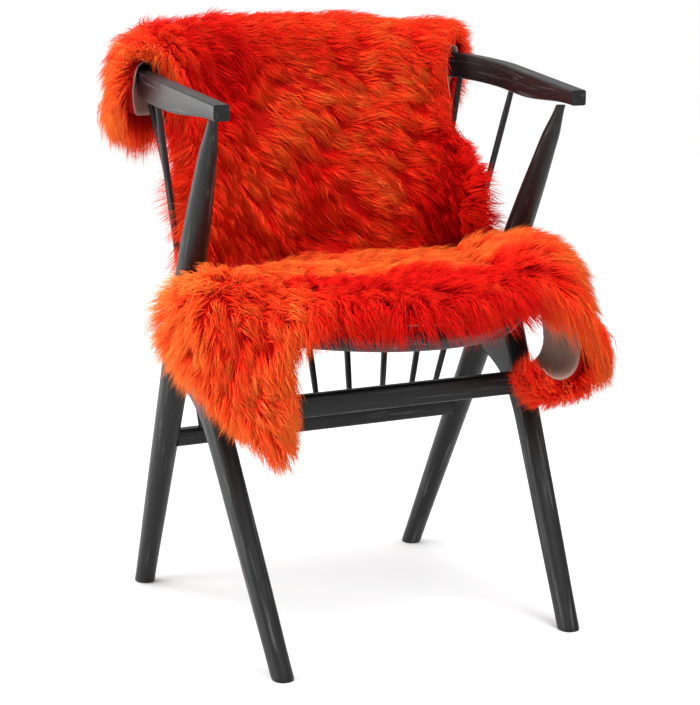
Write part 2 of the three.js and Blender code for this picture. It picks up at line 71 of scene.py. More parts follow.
# Floor and light. A white studio: a wide pale floor under a white sky that is brightest overhead, and soft
# boxes at the left, behind and high in front, which give the black wood its grey edges.
class Wire:
    """A socket in a material. Arithmetic on it adds Math nodes, and node() adds any other node."""

    def __init__(self, tree, socket=None):
        self.tree = tree
        self.socket = socket

    def node(self, kind, settings=(), sockets=(), output=0):
        """Adds a node: first its settings, then the values or links of its sockets. Returns one output."""
        made = self.tree.nodes.new("ShaderNode" + kind)
        for name, value in dict(settings).items():
            if name == "stops":
                while len(made.color_ramp.elements) < len(value):
                    made.color_ramp.elements.new(0)
                for element, (place, colour) in zip(made.color_ramp.elements, value):
                    element.position = place
                    element.color = colour
            else:
                setattr(made, name, value)
        for name, value in dict(sockets).items():
            self.feed(made.inputs[name], value)
        return Wire(self.tree, made.outputs[output])

    def feed(self, socket, value):
        """Links a wire to a socket, or sets the socket's own value."""
        if isinstance(value, Wire):
            self.tree.links.new(value.socket, socket)
        else:
            socket.default_value = value

    def math(self, operation, first, second):
        """Adds a Math node. The arithmetic signs below use it too."""
        return self.node("Math", {"operation": operation}, {0: first, 1: second})

    def noise(self, place, scale, detail, roughness, distortion=0):
        """Adds a noise texture over the coordinates of a place."""
        sizes = {"Scale": scale, "Detail": detail, "Roughness": roughness, "Distortion": distortion}
        return self.node("TexNoise", {}, {"Vector": place, **sizes})

    def blend(self, share, low, high):
        """Adds a mix of two colours: low where the share is 0, high where it is 1."""
        return self.node("Mix", {"data_type": "RGBA"}, {0: share, 6: low, 7: high}, output=2)

    def bump(self, strength, distance, height):
        """Adds a bump of the surface by a height, for the shader's normal."""
        return self.node("Bump", {}, {"Strength": strength, "Distance": distance, "Height": height})

    def __add__(self, other):
        return self.math("ADD", self, other)

    def __sub__(self, other):
        return self.math("SUBTRACT", self, other)

    def __rsub__(self, other):
        return self.math("SUBTRACT", other, self)

    def __mul__(self, other):
        return self.math("MULTIPLY", self, other)

    __radd__ = __add__
    __rmul__ = __mul__


def material(name, roughness):
    """A new material, a wire to build with, and a function that sets or links the shader's sockets."""
    made = bpy.data.materials.new(name)
    made.use_nodes = True
    shader = made.node_tree.nodes["Principled BSDF"]
    shader.inputs["Roughness"].default_value = roughness
    wire = Wire(made.node_tree)
    return made, wire, lambda socket, value: wire.feed(shader.inputs[socket], value)


def solid(name, points, triangles, finish, **attributes):
    """A smooth mesh at the origin, from points about the chair's origin, with its point attributes."""
    mesh = bpy.data.meshes.new(name)
    mesh.vertices.add(len(points))
    mesh.vertices.foreach_set("co", (points + CHAIR_ORIGIN).astype(np.float32).ravel())
    mesh.loops.add(triangles.size)
    mesh.loops.foreach_set("vertex_index", triangles.astype(np.int32).ravel())
    mesh.polygons.add(len(triangles))
    mesh.polygons.foreach_set("loop_start", np.arange(0, triangles.size, 3, dtype=np.int32))
    mesh.update(calc_edges=True)
    for key, values in attributes.items():
        kind, field = ("FLOAT", "value") if values.ndim == 1 else ("FLOAT_VECTOR", "vector")
        mesh.attributes.new(key, kind, "POINT").data.foreach_set(field, values.astype(np.float32).ravel())
    mesh.shade_smooth()
    mesh.materials.append(finish)
    piece = bpy.data.objects.new(name, mesh)
    bpy.context.scene.collection.objects.link(piece)
    return piece


FLOOR_REACH = 45.0
FLOOR_COLOUR = (0.72, 0.72, 0.72, 1)
floor_paint, _, paint_floor = material("white_floor", roughness=0.9)
paint_floor("Base Color", FLOOR_COLOUR)
floor_corners = FLOOR_REACH * np.array([[-1, -1, 0], [1, -1, 0], [1, 1, 0], [-1, 1, 0]])
floor = solid("floor", floor_corners, np.array([[0, 1, 2], [0, 2, 3]]), floor_paint)

# How bright the sky is at its horizon, how much more overhead, how much less towards the right, and at least.
SKY_LEVEL = 0.39
SKY_OVERHEAD = 1.52
SKY_RIGHT = 0.38
SKY_LEAST = 0.05

world = bpy.data.worlds.new("white_studio")
world.use_nodes = True
sky = Wire(world.node_tree)
sky_right = sky.node("SeparateXYZ", {}, {0: sky.node("TexCoord", output="Generated")}, output="X")
sky_up = Wire(world.node_tree, sky_right.socket.node.outputs["Z"])
sky_glow = SKY_LEVEL + sky.math("MAXIMUM", sky_up, 0.0) * SKY_OVERHEAD - sky_right * SKY_RIGHT
sky_glow = sky.math("MAXIMUM", sky_glow, SKY_LEAST)
sky.feed(world.node_tree.nodes["Background"].inputs["Strength"], sky_glow)
sky.feed(world.node_tree.nodes["Background"].inputs["Color"], (1, 1, 1, 1))
bpy.context.scene.world = world
bpy.context.scene.view_settings.view_transform = "Standard"


def soft_box(name, place, aim, size, watts):
    """A square area light that faces from its place towards a point."""
    lamp = bpy.data.lights.new(name, "AREA")
    lamp.size = size
    lamp.energy = watts
    box = bpy.data.objects.new(name, lamp)
    box.location = CHAIR_ORIGIN + place
    box.rotation_euler = Vector(np.subtract(aim, place)).to_track_quat("-Z", "Y").to_euler()
    bpy.context.scene.collection.objects.link(box)


soft_box("box_left", place=(-2.6, 0.1, 1.1), aim=(0, 0, 0.5), size=1.4, watts=60)
soft_box("box_behind", place=(-1.9, 1.8, 1.0), aim=(0, 0, 0.5), size=1.4, watts=38)
soft_box("box_front", place=(0.6, -1.7, 3.0), aim=(0, 0, 0.6), size=1.5, watts=70)

# Black wood. Open-grained ash, stained black and given a satin lacquer. The grain runs along each piece, so
# every piece carries its own coordinates: across it twice, and along it.
WOOD_BLACK = (0.0030, 0.0032, 0.0033, 1)
WOOD_GREY = (0.052, 0.054, 0.052, 1)
GRAIN_STRETCH = (1, 1, 0.06)
SHARP_EDGE = math.radians(50)

black_wood, wood_wire, paint_wood = material("black_stained_ash", roughness=0.42)
wood_grain = wood_wire.node("Attribute", {"attribute_name": "grain"}, output="Vector")
wood_long = wood_wire.node("VectorMath", {"operation": "MULTIPLY"}, {0: wood_grain, 1: GRAIN_STRETCH})
wood_pores = wood_wire.noise(wood_long, scale=900, detail=3, roughness=0.6)
wood_bands = wood_wire.noise(wood_long, scale=160, detail=4, roughness=0.55, distortion=0.6)
wood_lines = wood_wire.node(
    "ValToRGB",
    {"stops": [(0.0, (0, 0, 0, 1)), (0.56, (0, 0, 0, 1)), (0.68, (1, 1, 1, 1))]},
    {"Fac": wood_bands},
)
paint_wood("Base Color", wood_wire.blend(wood_lines * 0.85 + wood_pores * 0.12, WOOD_BLACK, WOOD_GREY))
paint_wood("Specular IOR Level", 0.26)
paint_wood("Roughness", 0.33 + wood_pores * 0.12 + wood_lines * 0.08)
paint_wood("Normal", wood_wire.bump(0.35, 0.0004, wood_pores + wood_lines * 0.5))


def mix(low, high, part):
    """The value a share of the way from low to high."""
    return low + (high - low) * part


def ease(x, low, high):
    """0 below low, 1 above high, and a smooth step between them."""
    part = np.clip((x - low) / (high - low), 0, 1)
    return part * part * (3 - 2 * part)


def along(rows, x):
    """A table's second column at x: a cubic through its rows, level at each peak, dip and end."""
    at, value = np.array(rows, float).T
    rise = np.diff(value) / np.diff(at)
    slope = np.zeros(len(at))
    product = rise[:-1] * rise[1:]
    total = np.where(product > 0, rise[:-1] + rise[1:], 1)
    slope[1:-1] = np.where(product > 0, 2 * product / total, 0)
    x = np.clip(x, at[0], at[-1])
    k = np.clip(np.searchsorted(at, x) - 1, 0, len(at) - 2)
    span = at[k + 1] - at[k]
    t = (x - at[k]) / span
    return (
        (2 * t**3 - 3 * t**2 + 1) * value[k]
        + (t**3 - 2 * t**2 + t) * span * slope[k]
        + (3 * t**2 - 2 * t**3) * value[k + 1]
        + (t**3 - t**2) * span * slope[k + 1]
    )


def bar(name, rings, grain, node):
    """A closed wooden piece: quads, halved, between rings of points, and a fan on each end."""
    count, around = rings.shape[:2]
    row, turn = np.meshgrid(np.arange(count - 1), np.arange(around), indexing="ij")
    a = (row * around + turn).ravel()
    b = (row * around + (turn + 1) % around).ravel()
    sides = np.concatenate([np.stack([a, b, b + around], 1), np.stack([a, b + around, a + around], 1)])
    first = np.arange(around)
    second = (first + 1) % around
    last = (count - 1) * around
    low_hub, high_hub = count * around, count * around + 1
    ends = np.concatenate([
        np.stack([np.full(around, low_hub), second, first], 1),
        np.stack([np.full(around, high_hub), last + first, last + second], 1),
    ])
    hubs = np.stack([rings[0].mean(0), rings[-1].mean(0)])
    points = np.concatenate([rings.reshape(-1, 3), hubs])
    grain_hubs = np.stack([grain[0].mean(0), grain[-1].mean(0)])
    triangles = np.concatenate([sides, ends])
    corners = points[triangles]
    volume = np.einsum("ij,ij->", corners[:, 0], np.cross(corners[:, 1], corners[:, 2]))
    if volume < 0:
        triangles = triangles[:, ::-1]
    grain = np.concatenate([grain.reshape(-1, 3), grain_hubs])
    piece = solid(name, points, triangles, black_wood, grain=grain)
    piece.data.set_sharp_from_angle(angle=SHARP_EDGE)
    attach(piece, "root")
    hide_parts(node)
    return piece


def circle(count):
    """Points round a circle of radius 1, as a (count, 2) array."""
    turn = (np.arange(count) + 0.5) / count * 2 * math.pi
    return np.stack([np.cos(turn), np.sin(turn)], 1)


# Back legs. Each is one turned stave that runs from the rear foot, past the seat, to the arm. It is slim at
# the foot, full at the seat and drawn in to a neck that is tenoned into the arm.
POST_FOOT = np.array([0.220, 0.230, 0.0])
POST_HEAD = np.array([0.253, -0.122, 0.697])
POST_RADII = [
    (0.0, 0.0142), (0.150, 0.0164), (0.300, 0.0186), (0.430, 0.0200), (0.502, 0.0188),
    (0.572, 0.0165), (0.626, 0.0134), (0.658, 0.0114), (0.676, 0.0086), (0.697, 0.0062),
]
POST_AROUND = 36
# Every foot's end is rounded: heights above the floor, and how far the leg's side draws in there.
FOOT_END_Z = [0, 0.0005, 0.002]
FOOT_END_IN = [0.002, 0.0008, 0.0002]
HANDS = {"left": -1, "right": 1}


def post_axis(z):
    """Middle of the right back leg at each height, on the straight line from foot to head."""
    return POST_FOOT + (POST_HEAD - POST_FOOT) * (np.asarray(z)[..., None] / POST_HEAD[2])


post_z = np.concatenate([FOOT_END_Z, np.linspace(0.006, POST_HEAD[2], 90)])
post_r = along(POST_RADII, post_z) - np.pad(FOOT_END_IN, (0, len(post_z) - len(FOOT_END_IN)))
post_slant = (POST_HEAD - POST_FOOT) / POST_HEAD[2]
post_round = circle(POST_AROUND) * np.hypot(1, post_slant[:2])
for hand, side in HANDS.items():
    rings = np.repeat(post_axis(post_z)[:, None], POST_AROUND, 1)
    rings[..., :2] += post_r[:, None, None] * post_round
    grain = rings - post_axis(post_z)[:, None] + np.stack([0 * post_z, 0 * post_z, post_z], 1)[:, None]
    bar(f"back_leg_{hand}", rings * [side, 1, 1], grain + side, f"leg_back_{hand}")

# Front legs. Each rises to its back leg beside the seat and is glued to it by a web with a round crotch.
FRONT_FOOT = np.array([0.213, -0.230, 0.0])
FRONT_JOINT = np.array([0.239, -0.005, 0.425])
FRONT_HALF = [(0.0, 0.0152), (0.130, 0.0170), (0.260, 0.0186), (0.344, 0.0198), (0.452, 0.0206)]
FRONT_BACK_HALF = [
    (0.0, 0.0152), (0.130, 0.0170), (0.260, 0.0190), (0.296, 0.0270), (0.318, 0.0440),
    (0.332, 0.0680), (0.344, 0.0960), (0.400, 0.0700), (0.452, 0.0500),
]
FRONT_ACROSS = [(0.0, 0.0142), (0.130, 0.0156), (0.260, 0.0168), (0.344, 0.0178), (0.452, 0.0180)]
FRONT_SQUARE = 2.3
FRONT_AROUND = 48
FRONT_LEAST_HALF = 0.004

front_z = np.concatenate([FOOT_END_Z, np.linspace(0.006, 0.290, 36), np.linspace(0.293, 0.452, 60)])
front_shrink = np.pad(FOOT_END_IN, (0, len(front_z) - len(FOOT_END_IN)))
front_axis = FRONT_FOOT + (FRONT_JOINT - FRONT_FOOT) * (front_z / FRONT_JOINT[2])[:, None]
front_round = np.sign(circle(FRONT_AROUND)) * np.abs(circle(FRONT_AROUND)) ** (2 / FRONT_SQUARE)
web_room = np.maximum(post_axis(front_z)[:, 1] - front_axis[:, 1], FRONT_LEAST_HALF)
half_front = along(FRONT_HALF, front_z) - front_shrink
half_back = np.minimum(along(FRONT_BACK_HALF, front_z) - front_shrink, web_room)
half_across = along(FRONT_ACROSS, front_z) - front_shrink
half_deep = np.where(front_round[:, 1] < 0, half_front[:, None], half_back[:, None])
for hand, side in HANDS.items():
    rings = np.repeat(front_axis[:, None], FRONT_AROUND, 1)
    rings[..., 0] += half_across[:, None] * front_round[:, 0]
    rings[..., 1] += half_deep * front_round[:, 1]
    grain = rings - front_axis[:, None] + np.stack([0 * front_z, 0 * front_z, front_z], 1)[:, None]
    bar(f"front_leg_{hand}", rings * [side, 1, 1], grain + 3 * side, f"leg_front_{hand}")

# Seat. A D-shaped board, elliptical in front and squarer behind, housed a little way into the back legs. Its
# edge is softly rounded: the rows are depths below its top and how far the edge draws in there.
SEAT_HALF_WIDTH = 0.218
SEAT_REAR = 0.142
SEAT_TOP = 0.440
SEAT_THICK = 0.030
SEAT_FRONT_POWER = 2.0
SEAT_REAR_POWER = 2.4
SEAT_HOUSING = 0.003
SEAT_EDGE = [
    (0.0300, 0.0160), (0.0296, 0.0130), (0.0280, 0.0090), (0.0240, 0.0050), (0.0200, 0.0020), (0.0150, 0.0),
    (0.0100, 0.0010), (0.0060, 0.0040), (0.0030, 0.0080), (0.0008, 0.0120), (0.0, 0.0160),
]
SEAT_AROUND = 140


def seat_share(x, y):
    """Distance from the seat's middle as a share of its edge's: 1 on the edge, more outside.

    The powers of x and y, each over the half axis, add up to that share's own power.
    """
    power = np.where(y < 0, SEAT_FRONT_POWER, SEAT_REAR_POWER)
    deep = np.where(y < 0, SEAT_FRONT, SEAT_REAR)
    return (np.abs(x / SEAT_HALF_WIDTH) ** power + np.abs(y / deep) ** power) ** (1 / power)


seat_turn = np.arange(SEAT_AROUND) / SEAT_AROUND * 2 * math.pi
seat_way = np.stack([np.cos(seat_turn), np.sin(seat_turn)], 1)
seat_reach = 1 / seat_share(seat_way[:, 0], seat_way[:, 1]) + SEAT_HOUSING * np.abs(seat_way[:, 0]) ** 8
seat_rings = np.array([
    np.column_stack([seat_way * (seat_reach - inset)[:, None], np.full(SEAT_AROUND, SEAT_TOP - drop)])
    for drop, inset in SEAT_EDGE
])
bar("seat_board", seat_rings, seat_rings[..., [1, 2, 0]], "seat")

# Top rail. One bent rail in three lengths: the back, a half ellipse in plan, and an arm at each end that
# runs forward, thins to its tip and is cut square there. It rises a little towards the back.
RAIL_WIDE = 0.267
RAIL_DEEP = 0.224
RAIL_CENTRE_Y = 0.032
RAIL_THICK = 0.022
RAIL_HIGH = 0.035
ARM_TIP_HIGH = 0.0205
ARM_TIP = (0.257, -0.159)
RAIL_TIP_TOP = 0.719
RAIL_RISE = 0.12
ARM_TURN = 40.0
ARM_SPLIT = 96.0
RAIL_BEVEL = 0.0032
ARM_SWELL = 0.15


def rail_plan(angle, offset=0.0):
    """Plan point of the rail at an angle in degrees from the middle of the back, set out by an offset.

    Up to 90 degrees it is on an ellipse, and from there on the straight line to the arm's tip.
    """
    turn = np.abs(angle)
    hand = np.where(angle < 0, -1, 1)
    on_ellipse = np.radians(np.minimum(turn, 90))
    part = np.maximum(turn - 90, 0) / ARM_TURN
    x = np.where(
        turn <= 90,
        (RAIL_WIDE + offset) * np.sin(on_ellipse),
        mix(RAIL_WIDE, ARM_TIP[0], part) + offset,
    )
    y = np.where(
        turn <= 90,
        RAIL_CENTRE_Y + (RAIL_DEEP + offset) * np.cos(on_ellipse),
        mix(RAIL_CENTRE_Y, ARM_TIP[1], part),
    )
    return np.stack([hand * x, y], -1)


def rail_top(y):
    """Height of the rail's top at y: it rises evenly from the arms' tips."""
    return RAIL_TIP_TOP + RAIL_RISE * (y - ARM_TIP[1])


def bevelled(half_wide, half_high, bevel, steps=5):
    """Points round rectangles with round edges: quarter circles at the corners, and a point beside each."""
    quarter = np.linspace(0, math.pi / 2, steps)
    turn = np.concatenate([quarter + k * math.pi / 2 for k in range(4)])
    corner = np.repeat([[1, 1], [-1, 1], [-1, -1], [1, -1]], steps, 0)
    half = np.stack(np.broadcast_arrays(half_wide, half_high), -1)[:, None]
    return corner * (half - bevel) + bevel * np.stack([np.cos(turn), np.sin(turn)], 1)


def rail_length(name, start, end, steps, node):
    """A length of the rail between two angles: a bevelled section, carried square to the plan line."""
    angle = np.linspace(start, end, steps)
    centre = rail_plan(angle)
    ahead = rail_plan(angle + 0.5) - rail_plan(angle - 0.5)
    ahead /= np.linalg.norm(ahead, axis=1, keepdims=True)
    high = mix(ARM_TIP_HIGH, RAIL_HIGH, ease(centre[:, 1], ARM_TIP[1], ARM_TIP[1] + ARM_SWELL))
    section = bevelled(np.full(steps, RAIL_THICK / 2), high / 2, RAIL_BEVEL)
    out = np.stack([ahead[:, 1], -ahead[:, 0]], 1)
    rings = np.concatenate([
        centre[:, None] + section[..., :1] * out[:, None],
        (rail_top(centre[:, 1]) - high / 2)[:, None, None] + section[..., 1:],
    ], -1)
    run = np.concatenate([[0], np.cumsum(np.linalg.norm(np.diff(centre, axis=0), axis=1))])
    grain = np.concatenate([section, np.broadcast_to(run[:, None, None], section.shape[:2] + (1,))], -1)
    return bar(name, rings, grain + start / 10, node)


rail_length("arm_rest_left", -90 - ARM_TURN, -ARM_SPLIT, 40, "arm_left")
rail_length("top_rail", -ARM_SPLIT, ARM_SPLIT, 120, "back_rail")
rail_length("arm_rest_right", ARM_SPLIT, 90 + ARM_TURN, 40, "arm_right")

# Stretchers. Two rails of rounded section that tie the legs: one behind, which carries the spindles, and a
# deeper one between the front legs.
REAR_BAR = {"y": 0.106, "low": 0.229, "high": 0.253, "thick": 0.020, "half_length": 0.218}
FRONT_BAR = {"y": -0.068, "low": 0.294, "high": 0.325, "thick": 0.018, "half_length": 0.222}
BAR_STEPS = 24
BAR_BEVEL = 0.005


def stretcher(name, size, node):
    """A straight rail between the legs: a rectangle with round edges, carried from side to side."""
    x = np.linspace(-size["half_length"], size["half_length"], BAR_STEPS)
    half_high = (size["high"] - size["low"]) / 2
    section = bevelled(np.full(BAR_STEPS, size["thick"] / 2), np.full(BAR_STEPS, half_high), BAR_BEVEL)
    centre = np.array([size["y"], (size["low"] + size["high"]) / 2])
    along_x = np.broadcast_to(x[:, None, None], section.shape[:2] + (1,))
    rings = np.concatenate([along_x, section + centre], -1)
    return bar(name, rings, np.concatenate([section, along_x], -1) + size["low"], node)


stretcher("rear_stretcher", REAR_BAR, "stretcher_rear")
stretcher("front_stretcher", FRONT_BAR, "stretcher_front")

# Spindles. Nine thin turned rods from the rear stretcher to the rail, slimmer at their ends. Their feet
# are closer together than their heads.
SPINDLE_FOOT_Y = 0.102
SPINDLE_FOOT_WIDE = 0.196
SPINDLE_FOOT_RATE = 0.74
SPINDLE_FOOT_OFFSET = 0.6
SPINDLE_TENON = 0.002
SPINDLE_STEPS = 40
SPINDLE_AROUND = 16
SPINDLE_RADII = [(0.0, 0.0036), (0.12, 0.0046), (0.9, 0.0046), (1.0, 0.0040)]
SPINDLE_ANGLES = [-91, -64.5, -41.8, -20.1, 0, 20.1, 41.8, 64.5, 91]


def foot_plan(angle, offset=0.0):
    """Plan point of a spindle's foot, or of the sheepskin's back at the same plan angle."""
    x = (SPINDLE_FOOT_WIDE + SPINDLE_FOOT_OFFSET * offset) * np.sin(np.radians(SPINDLE_FOOT_RATE * angle))
    return np.stack(np.broadcast_arrays(x, SPINDLE_FOOT_Y + offset), -1)


spindle_part = np.linspace(0, 1, SPINDLE_STEPS)
for number, angle in enumerate(SPINDLE_ANGLES, 1):
    head = rail_plan(np.array(angle))
    low = np.array([*foot_plan(np.array(angle)), REAR_BAR["high"] - SPINDLE_TENON])
    high = np.array([*head, rail_top(head[1]) - RAIL_HIGH + SPINDLE_TENON])
    centre = low + (high - low) * spindle_part[:, None]
    round_part = along(SPINDLE_RADII, spindle_part)[:, None, None] * circle(SPINDLE_AROUND)
    rings = np.repeat(centre[:, None], SPINDLE_AROUND, 1)
    rings[..., :2] += round_part
    run = np.broadcast_to(centre[:, None, 2:], round_part.shape[:2] + (1,))
    grain = np.concatenate([round_part, run], -1)
    bar(f"spindle_rod_{number}", rings, grain + number, f"spindle_{number}")

# Hide. The skin itself: tanned, left undyed on its flesh side, greyish beige and matt like suede. It lies
# over the seat, hangs past its front edge as two flaps, climbs the spindles and folds over the rail.
PILE = 0.047
SKIN_OVER_SEAT = 0.003
RAIL_TO_SKIN = 0.016
RAIL_FOLD_DROP = 0.008
SPINDLE_TO_SKIN = 0.009
BACK_LENGTH = 0.313
CREASE_SOFTNESS = 0.052
SEAT_STRAIGHTENS = 0.140
RIGHT_FOLD_X = 0.226
RIGHT_FOLD_TOE = 0.13
LEFT_FOLD_OUT = 0.024
BACK_HIGH_Z = 0.734
HIDE_THICK = 0.0022
RADIUS_AT_RAIL = 0.245
RADIUS_AT_FEET = 0.162
RAIL_ABOUT_Z = 0.754
NEARS_RAIL = (BACK_LENGTH - 0.060, BACK_LENGTH - 0.020)
LEFT_FOLD_Y = (-0.200, -0.070)
SIDES_MEET = 0.060

# Half-width of the skin on either side of its middle, at distances along it: v is 0 in the crease between
# seat and back, positive over the seat, negative up the back and over the rail.
LEFT_WIDTHS = [
    (-0.480, 0.292), (-0.425, 0.338), (-0.372, 0.352), (-0.338, 0.324), (-0.305, 0.290), (-0.220, 0.262),
    (-0.170, 0.258), (-0.120, 0.270), (-0.060, 0.280), (0.0, 0.262), (0.060, 0.232), (0.140, 0.212),
    (0.172, 0.214), (0.208, 0.276), (0.250, 0.298), (0.290, 0.302), (0.330, 0.300), (0.440, 0.286),
]
RIGHT_WIDTHS = [
    (-0.480, 0.214), (-0.425, 0.238), (-0.372, 0.256), (-0.338, 0.262), (-0.305, 0.262), (-0.220, 0.262),
    (-0.170, 0.318), (-0.120, 0.366), (-0.060, 0.364), (0.0, 0.312), (0.060, 0.246), (0.140, 0.212),
    (0.172, 0.216), (0.208, 0.282), (0.250, 0.350), (0.290, 0.390), (0.330, 0.398), (0.440, 0.394),
]
END_ROW_V = -0.440
FRONT_ROW_V = 0.380
# Where it ends, at distances s across it: in front the left leg, a notch, the seat's edge and the right
# leg, and behind two legs with the tail between them.
FRONT_EDGE = [
    (-0.296, 0.418), (-0.274, 0.440), (-0.240, 0.426), (-0.208, 0.382), (-0.180, 0.356), (-0.150, 0.364),
    (-0.100, 0.388), (0.0, 0.418), (0.100, 0.388), (0.145, 0.352), (0.175, 0.338), (0.230, 0.338),
    (0.310, 0.352), (0.396, 0.360),
]
REAR_EDGE = [
    (-0.352, -0.342), (-0.300, -0.380), (-0.250, -0.428), (-0.160, -0.440), (-0.090, -0.445), (0.0, -0.460),
    (0.100, -0.474), (0.180, -0.488), (0.250, -0.440),
]
# How the front flaps fall: the slope below level, in degrees, at distances past the fold.
LEFT_FALL = [(-0.024, 0), (0.0, 16), (0.030, 64), (0.060, 82), (0.220, 88)]
RIGHT_FALL = [
    (-0.080, 0), (-0.052, -24), (-0.020, -14), (0.006, 4), (0.034, 46), (0.062, 82), (0.121, 100),
    (0.153, 158), (0.183, 214), (0.214, 244), (0.240, 248),
]
FALL_STEP = 0.002
# How far the right flap's front margin sags, and between which places forward and across that sets in. It
# ends once the flap has fallen this far.
MARGIN_SAG = 0.030
MARGIN_FORWARD = (0.120, 0.190)
MARGIN_ACROSS = (0.130, 0.215)
MARGIN_FALL = 0.05
# Where the skin stands off the seat beside the back legs: plan place, height and width.
BUCKLES = [(-0.240, -0.082, 0.016, 0.058), (0.238, -0.084, 0.012, 0.062)]


def fall(rows, distance):
    """How far out and how far down a flap has gone: sums of the cosine and sine of its slope."""
    start = rows[0][0]
    at = start + FALL_STEP * np.arange(300)
    slope = np.radians(along(rows, at + FALL_STEP / 2))
    out = start + FALL_STEP * np.concatenate([[0], np.cumsum(np.cos(slope))[:-1]])
    down = FALL_STEP * np.concatenate([[0], np.cumsum(np.sin(slope))[:-1]])
    return np.interp(distance, at, out) + np.minimum(0, distance - start), np.interp(distance, at, down)


def back_part(z):
    """How far down the back a height is: 0 at the rail and above, 1 at the spindles' feet and below."""
    return np.clip((BACK_HIGH_Z - z) / (BACK_HIGH_Z - REAR_BAR["high"]), 0, 1)


def back_plan(angle, z, offset):
    """Plan point of the back at a plan angle and height: the rail's curve above, the spindle feet's below."""
    return mix(rail_plan(angle, offset), foot_plan(angle, offset), back_part(z)[..., None])


def angle_across(s, z):
    """Plan angle of a place s across the back: s divided by the back's radius at that height."""
    return np.degrees(s / mix(RADIUS_AT_RAIL, RADIUS_AT_FEET, back_part(z)))


def skin_point(s, v):
    """Points on the flesh side of the skin, for flat places s across and v along it.

    The row v is split softly into a length forward over the seat and a length up the back. Up the back it
    keeps to the spindles and turns half a circle over the rail. Over the seat it is level until the folds,
    and past them it falls. The two meet in the crease, where only one of them counts on either side.
    """
    soft = np.hypot(v, CREASE_SOFTNESS)
    forward = (soft + v) / 2
    up = (soft - v) / 2
    level = np.full(np.shape(s), SEAT_TOP + SKIN_OVER_SEAT)
    crease = back_plan(angle_across(s, level), level, -SPINDLE_TO_SKIN)
    rail_y = rail_plan(angle_across(s, np.full(np.shape(s), RAIL_ABOUT_Z)))[..., 1]
    fold_z = rail_top(rail_y) - RAIL_FOLD_DROP
    fold_turn = np.clip((up - BACK_LENGTH) / RAIL_TO_SKIN, 0, math.pi)
    behind = np.maximum(0, up - BACK_LENGTH - math.pi * RAIL_TO_SKIN)
    z = mix(level, fold_z, np.minimum(1, up / BACK_LENGTH)) + RAIL_TO_SKIN * np.sin(fold_turn) - behind
    beside_rail = ease(up, *NEARS_RAIL)
    folding = fold_turn > 0
    inside = -mix(SPINDLE_TO_SKIN, RAIL_TO_SKIN, beside_rail)
    offset = np.where(folding, -RAIL_TO_SKIN * np.cos(fold_turn), inside)
    height = np.where(folding, fold_z, z)
    place = back_plan(angle_across(s, height), height, offset)

    straight = ease(forward, 0, SEAT_STRAIGHTENS)
    feet_to_rail = RAIL_CENTRE_Y + RAIL_DEEP - SPINDLE_FOOT_Y
    crease_middle = SPINDLE_FOOT_Y + mix(feet_to_rail, 0, back_part(level)) - SPINDLE_TO_SKIN
    x = mix(crease[..., 0], s, straight)
    y = mix(crease[..., 1] - forward, crease_middle - forward, straight)
    share = np.maximum(seat_share(x, y), 1e-6)
    length = np.maximum(np.hypot(x, y), 1e-6)
    edge = length / share
    fold_at = edge + LEFT_FOLD_OUT * ease(y, *LEFT_FOLD_Y)
    left_out, left_down = fall(LEFT_FALL, length - fold_at)
    fold_x = RIGHT_FOLD_X + RIGHT_FOLD_TOE * y
    right_out, right_down = fall(RIGHT_FALL, x - fold_x)
    to_right = ease(x, -SIDES_MEET, SIDES_MEET)
    fallen_x = mix(x / length * (fold_at + left_out), fold_x + right_out, to_right)
    fallen_y = mix(y / length * (fold_at + left_out), y, to_right)
    sink = mix(left_down, right_down, to_right)
    for buckle_x, buckle_y, high, wide in BUCKLES:
        sink = sink - high * np.exp(-((fallen_x - buckle_x) ** 2 + (fallen_y - buckle_y) ** 2) / wide**2)
    sink = sink + (
        MARGIN_SAG * ease(-fallen_y, *MARGIN_FORWARD) * ease(x, *MARGIN_ACROSS)
        * (1 - ease(right_down, 0.0, MARGIN_FALL))
    )
    in_front = y < 0
    x = np.where(in_front, fallen_x, x)
    y = np.where(in_front, fallen_y, y)
    sink = np.where(in_front, sink, 0)
    return np.stack([x + place[..., 0] - crease[..., 0], y + place[..., 1] - crease[..., 1], z - sink], -1)


def skin_frame(s, v, step=0.004):
    """At flat places: the point, the ways across and along the skin there, and the way the wool grows."""
    across = skin_point(s + step, v) - skin_point(s - step, v)
    forward = skin_point(s, v + step) - skin_point(s, v - step)
    across /= np.linalg.norm(across, axis=-1, keepdims=True)
    forward /= np.linalg.norm(forward, axis=-1, keepdims=True)
    grown = np.cross(forward, across)
    grown /= np.linalg.norm(grown, axis=-1, keepdims=True)
    return skin_point(s, v), across, forward, grown


def half_width(v, a):
    """Half-width of the skin at v: the left table's where a is below 0, and else the right table's."""
    return np.where(a < 0, along(LEFT_WIDTHS, v), along(RIGHT_WIDTHS, v))


def skin_ends(a):
    """Rear and front end of the skin, at a share a of the way across it, from -1 to 1."""
    return along(REAR_EDGE, a * half_width(END_ROW_V, a)), along(FRONT_EDGE, a * half_width(FRONT_ROW_V, a))


def flat_grid(columns, rows):
    """Flat places s and v of a grid over the whole skin."""
    a, t = np.meshgrid(np.linspace(-1, 1, columns + 1), np.linspace(0, 1, rows + 1))
    rear, front = skin_ends(a)
    v = mix(rear, front, t)
    return a * half_width(v, a), v


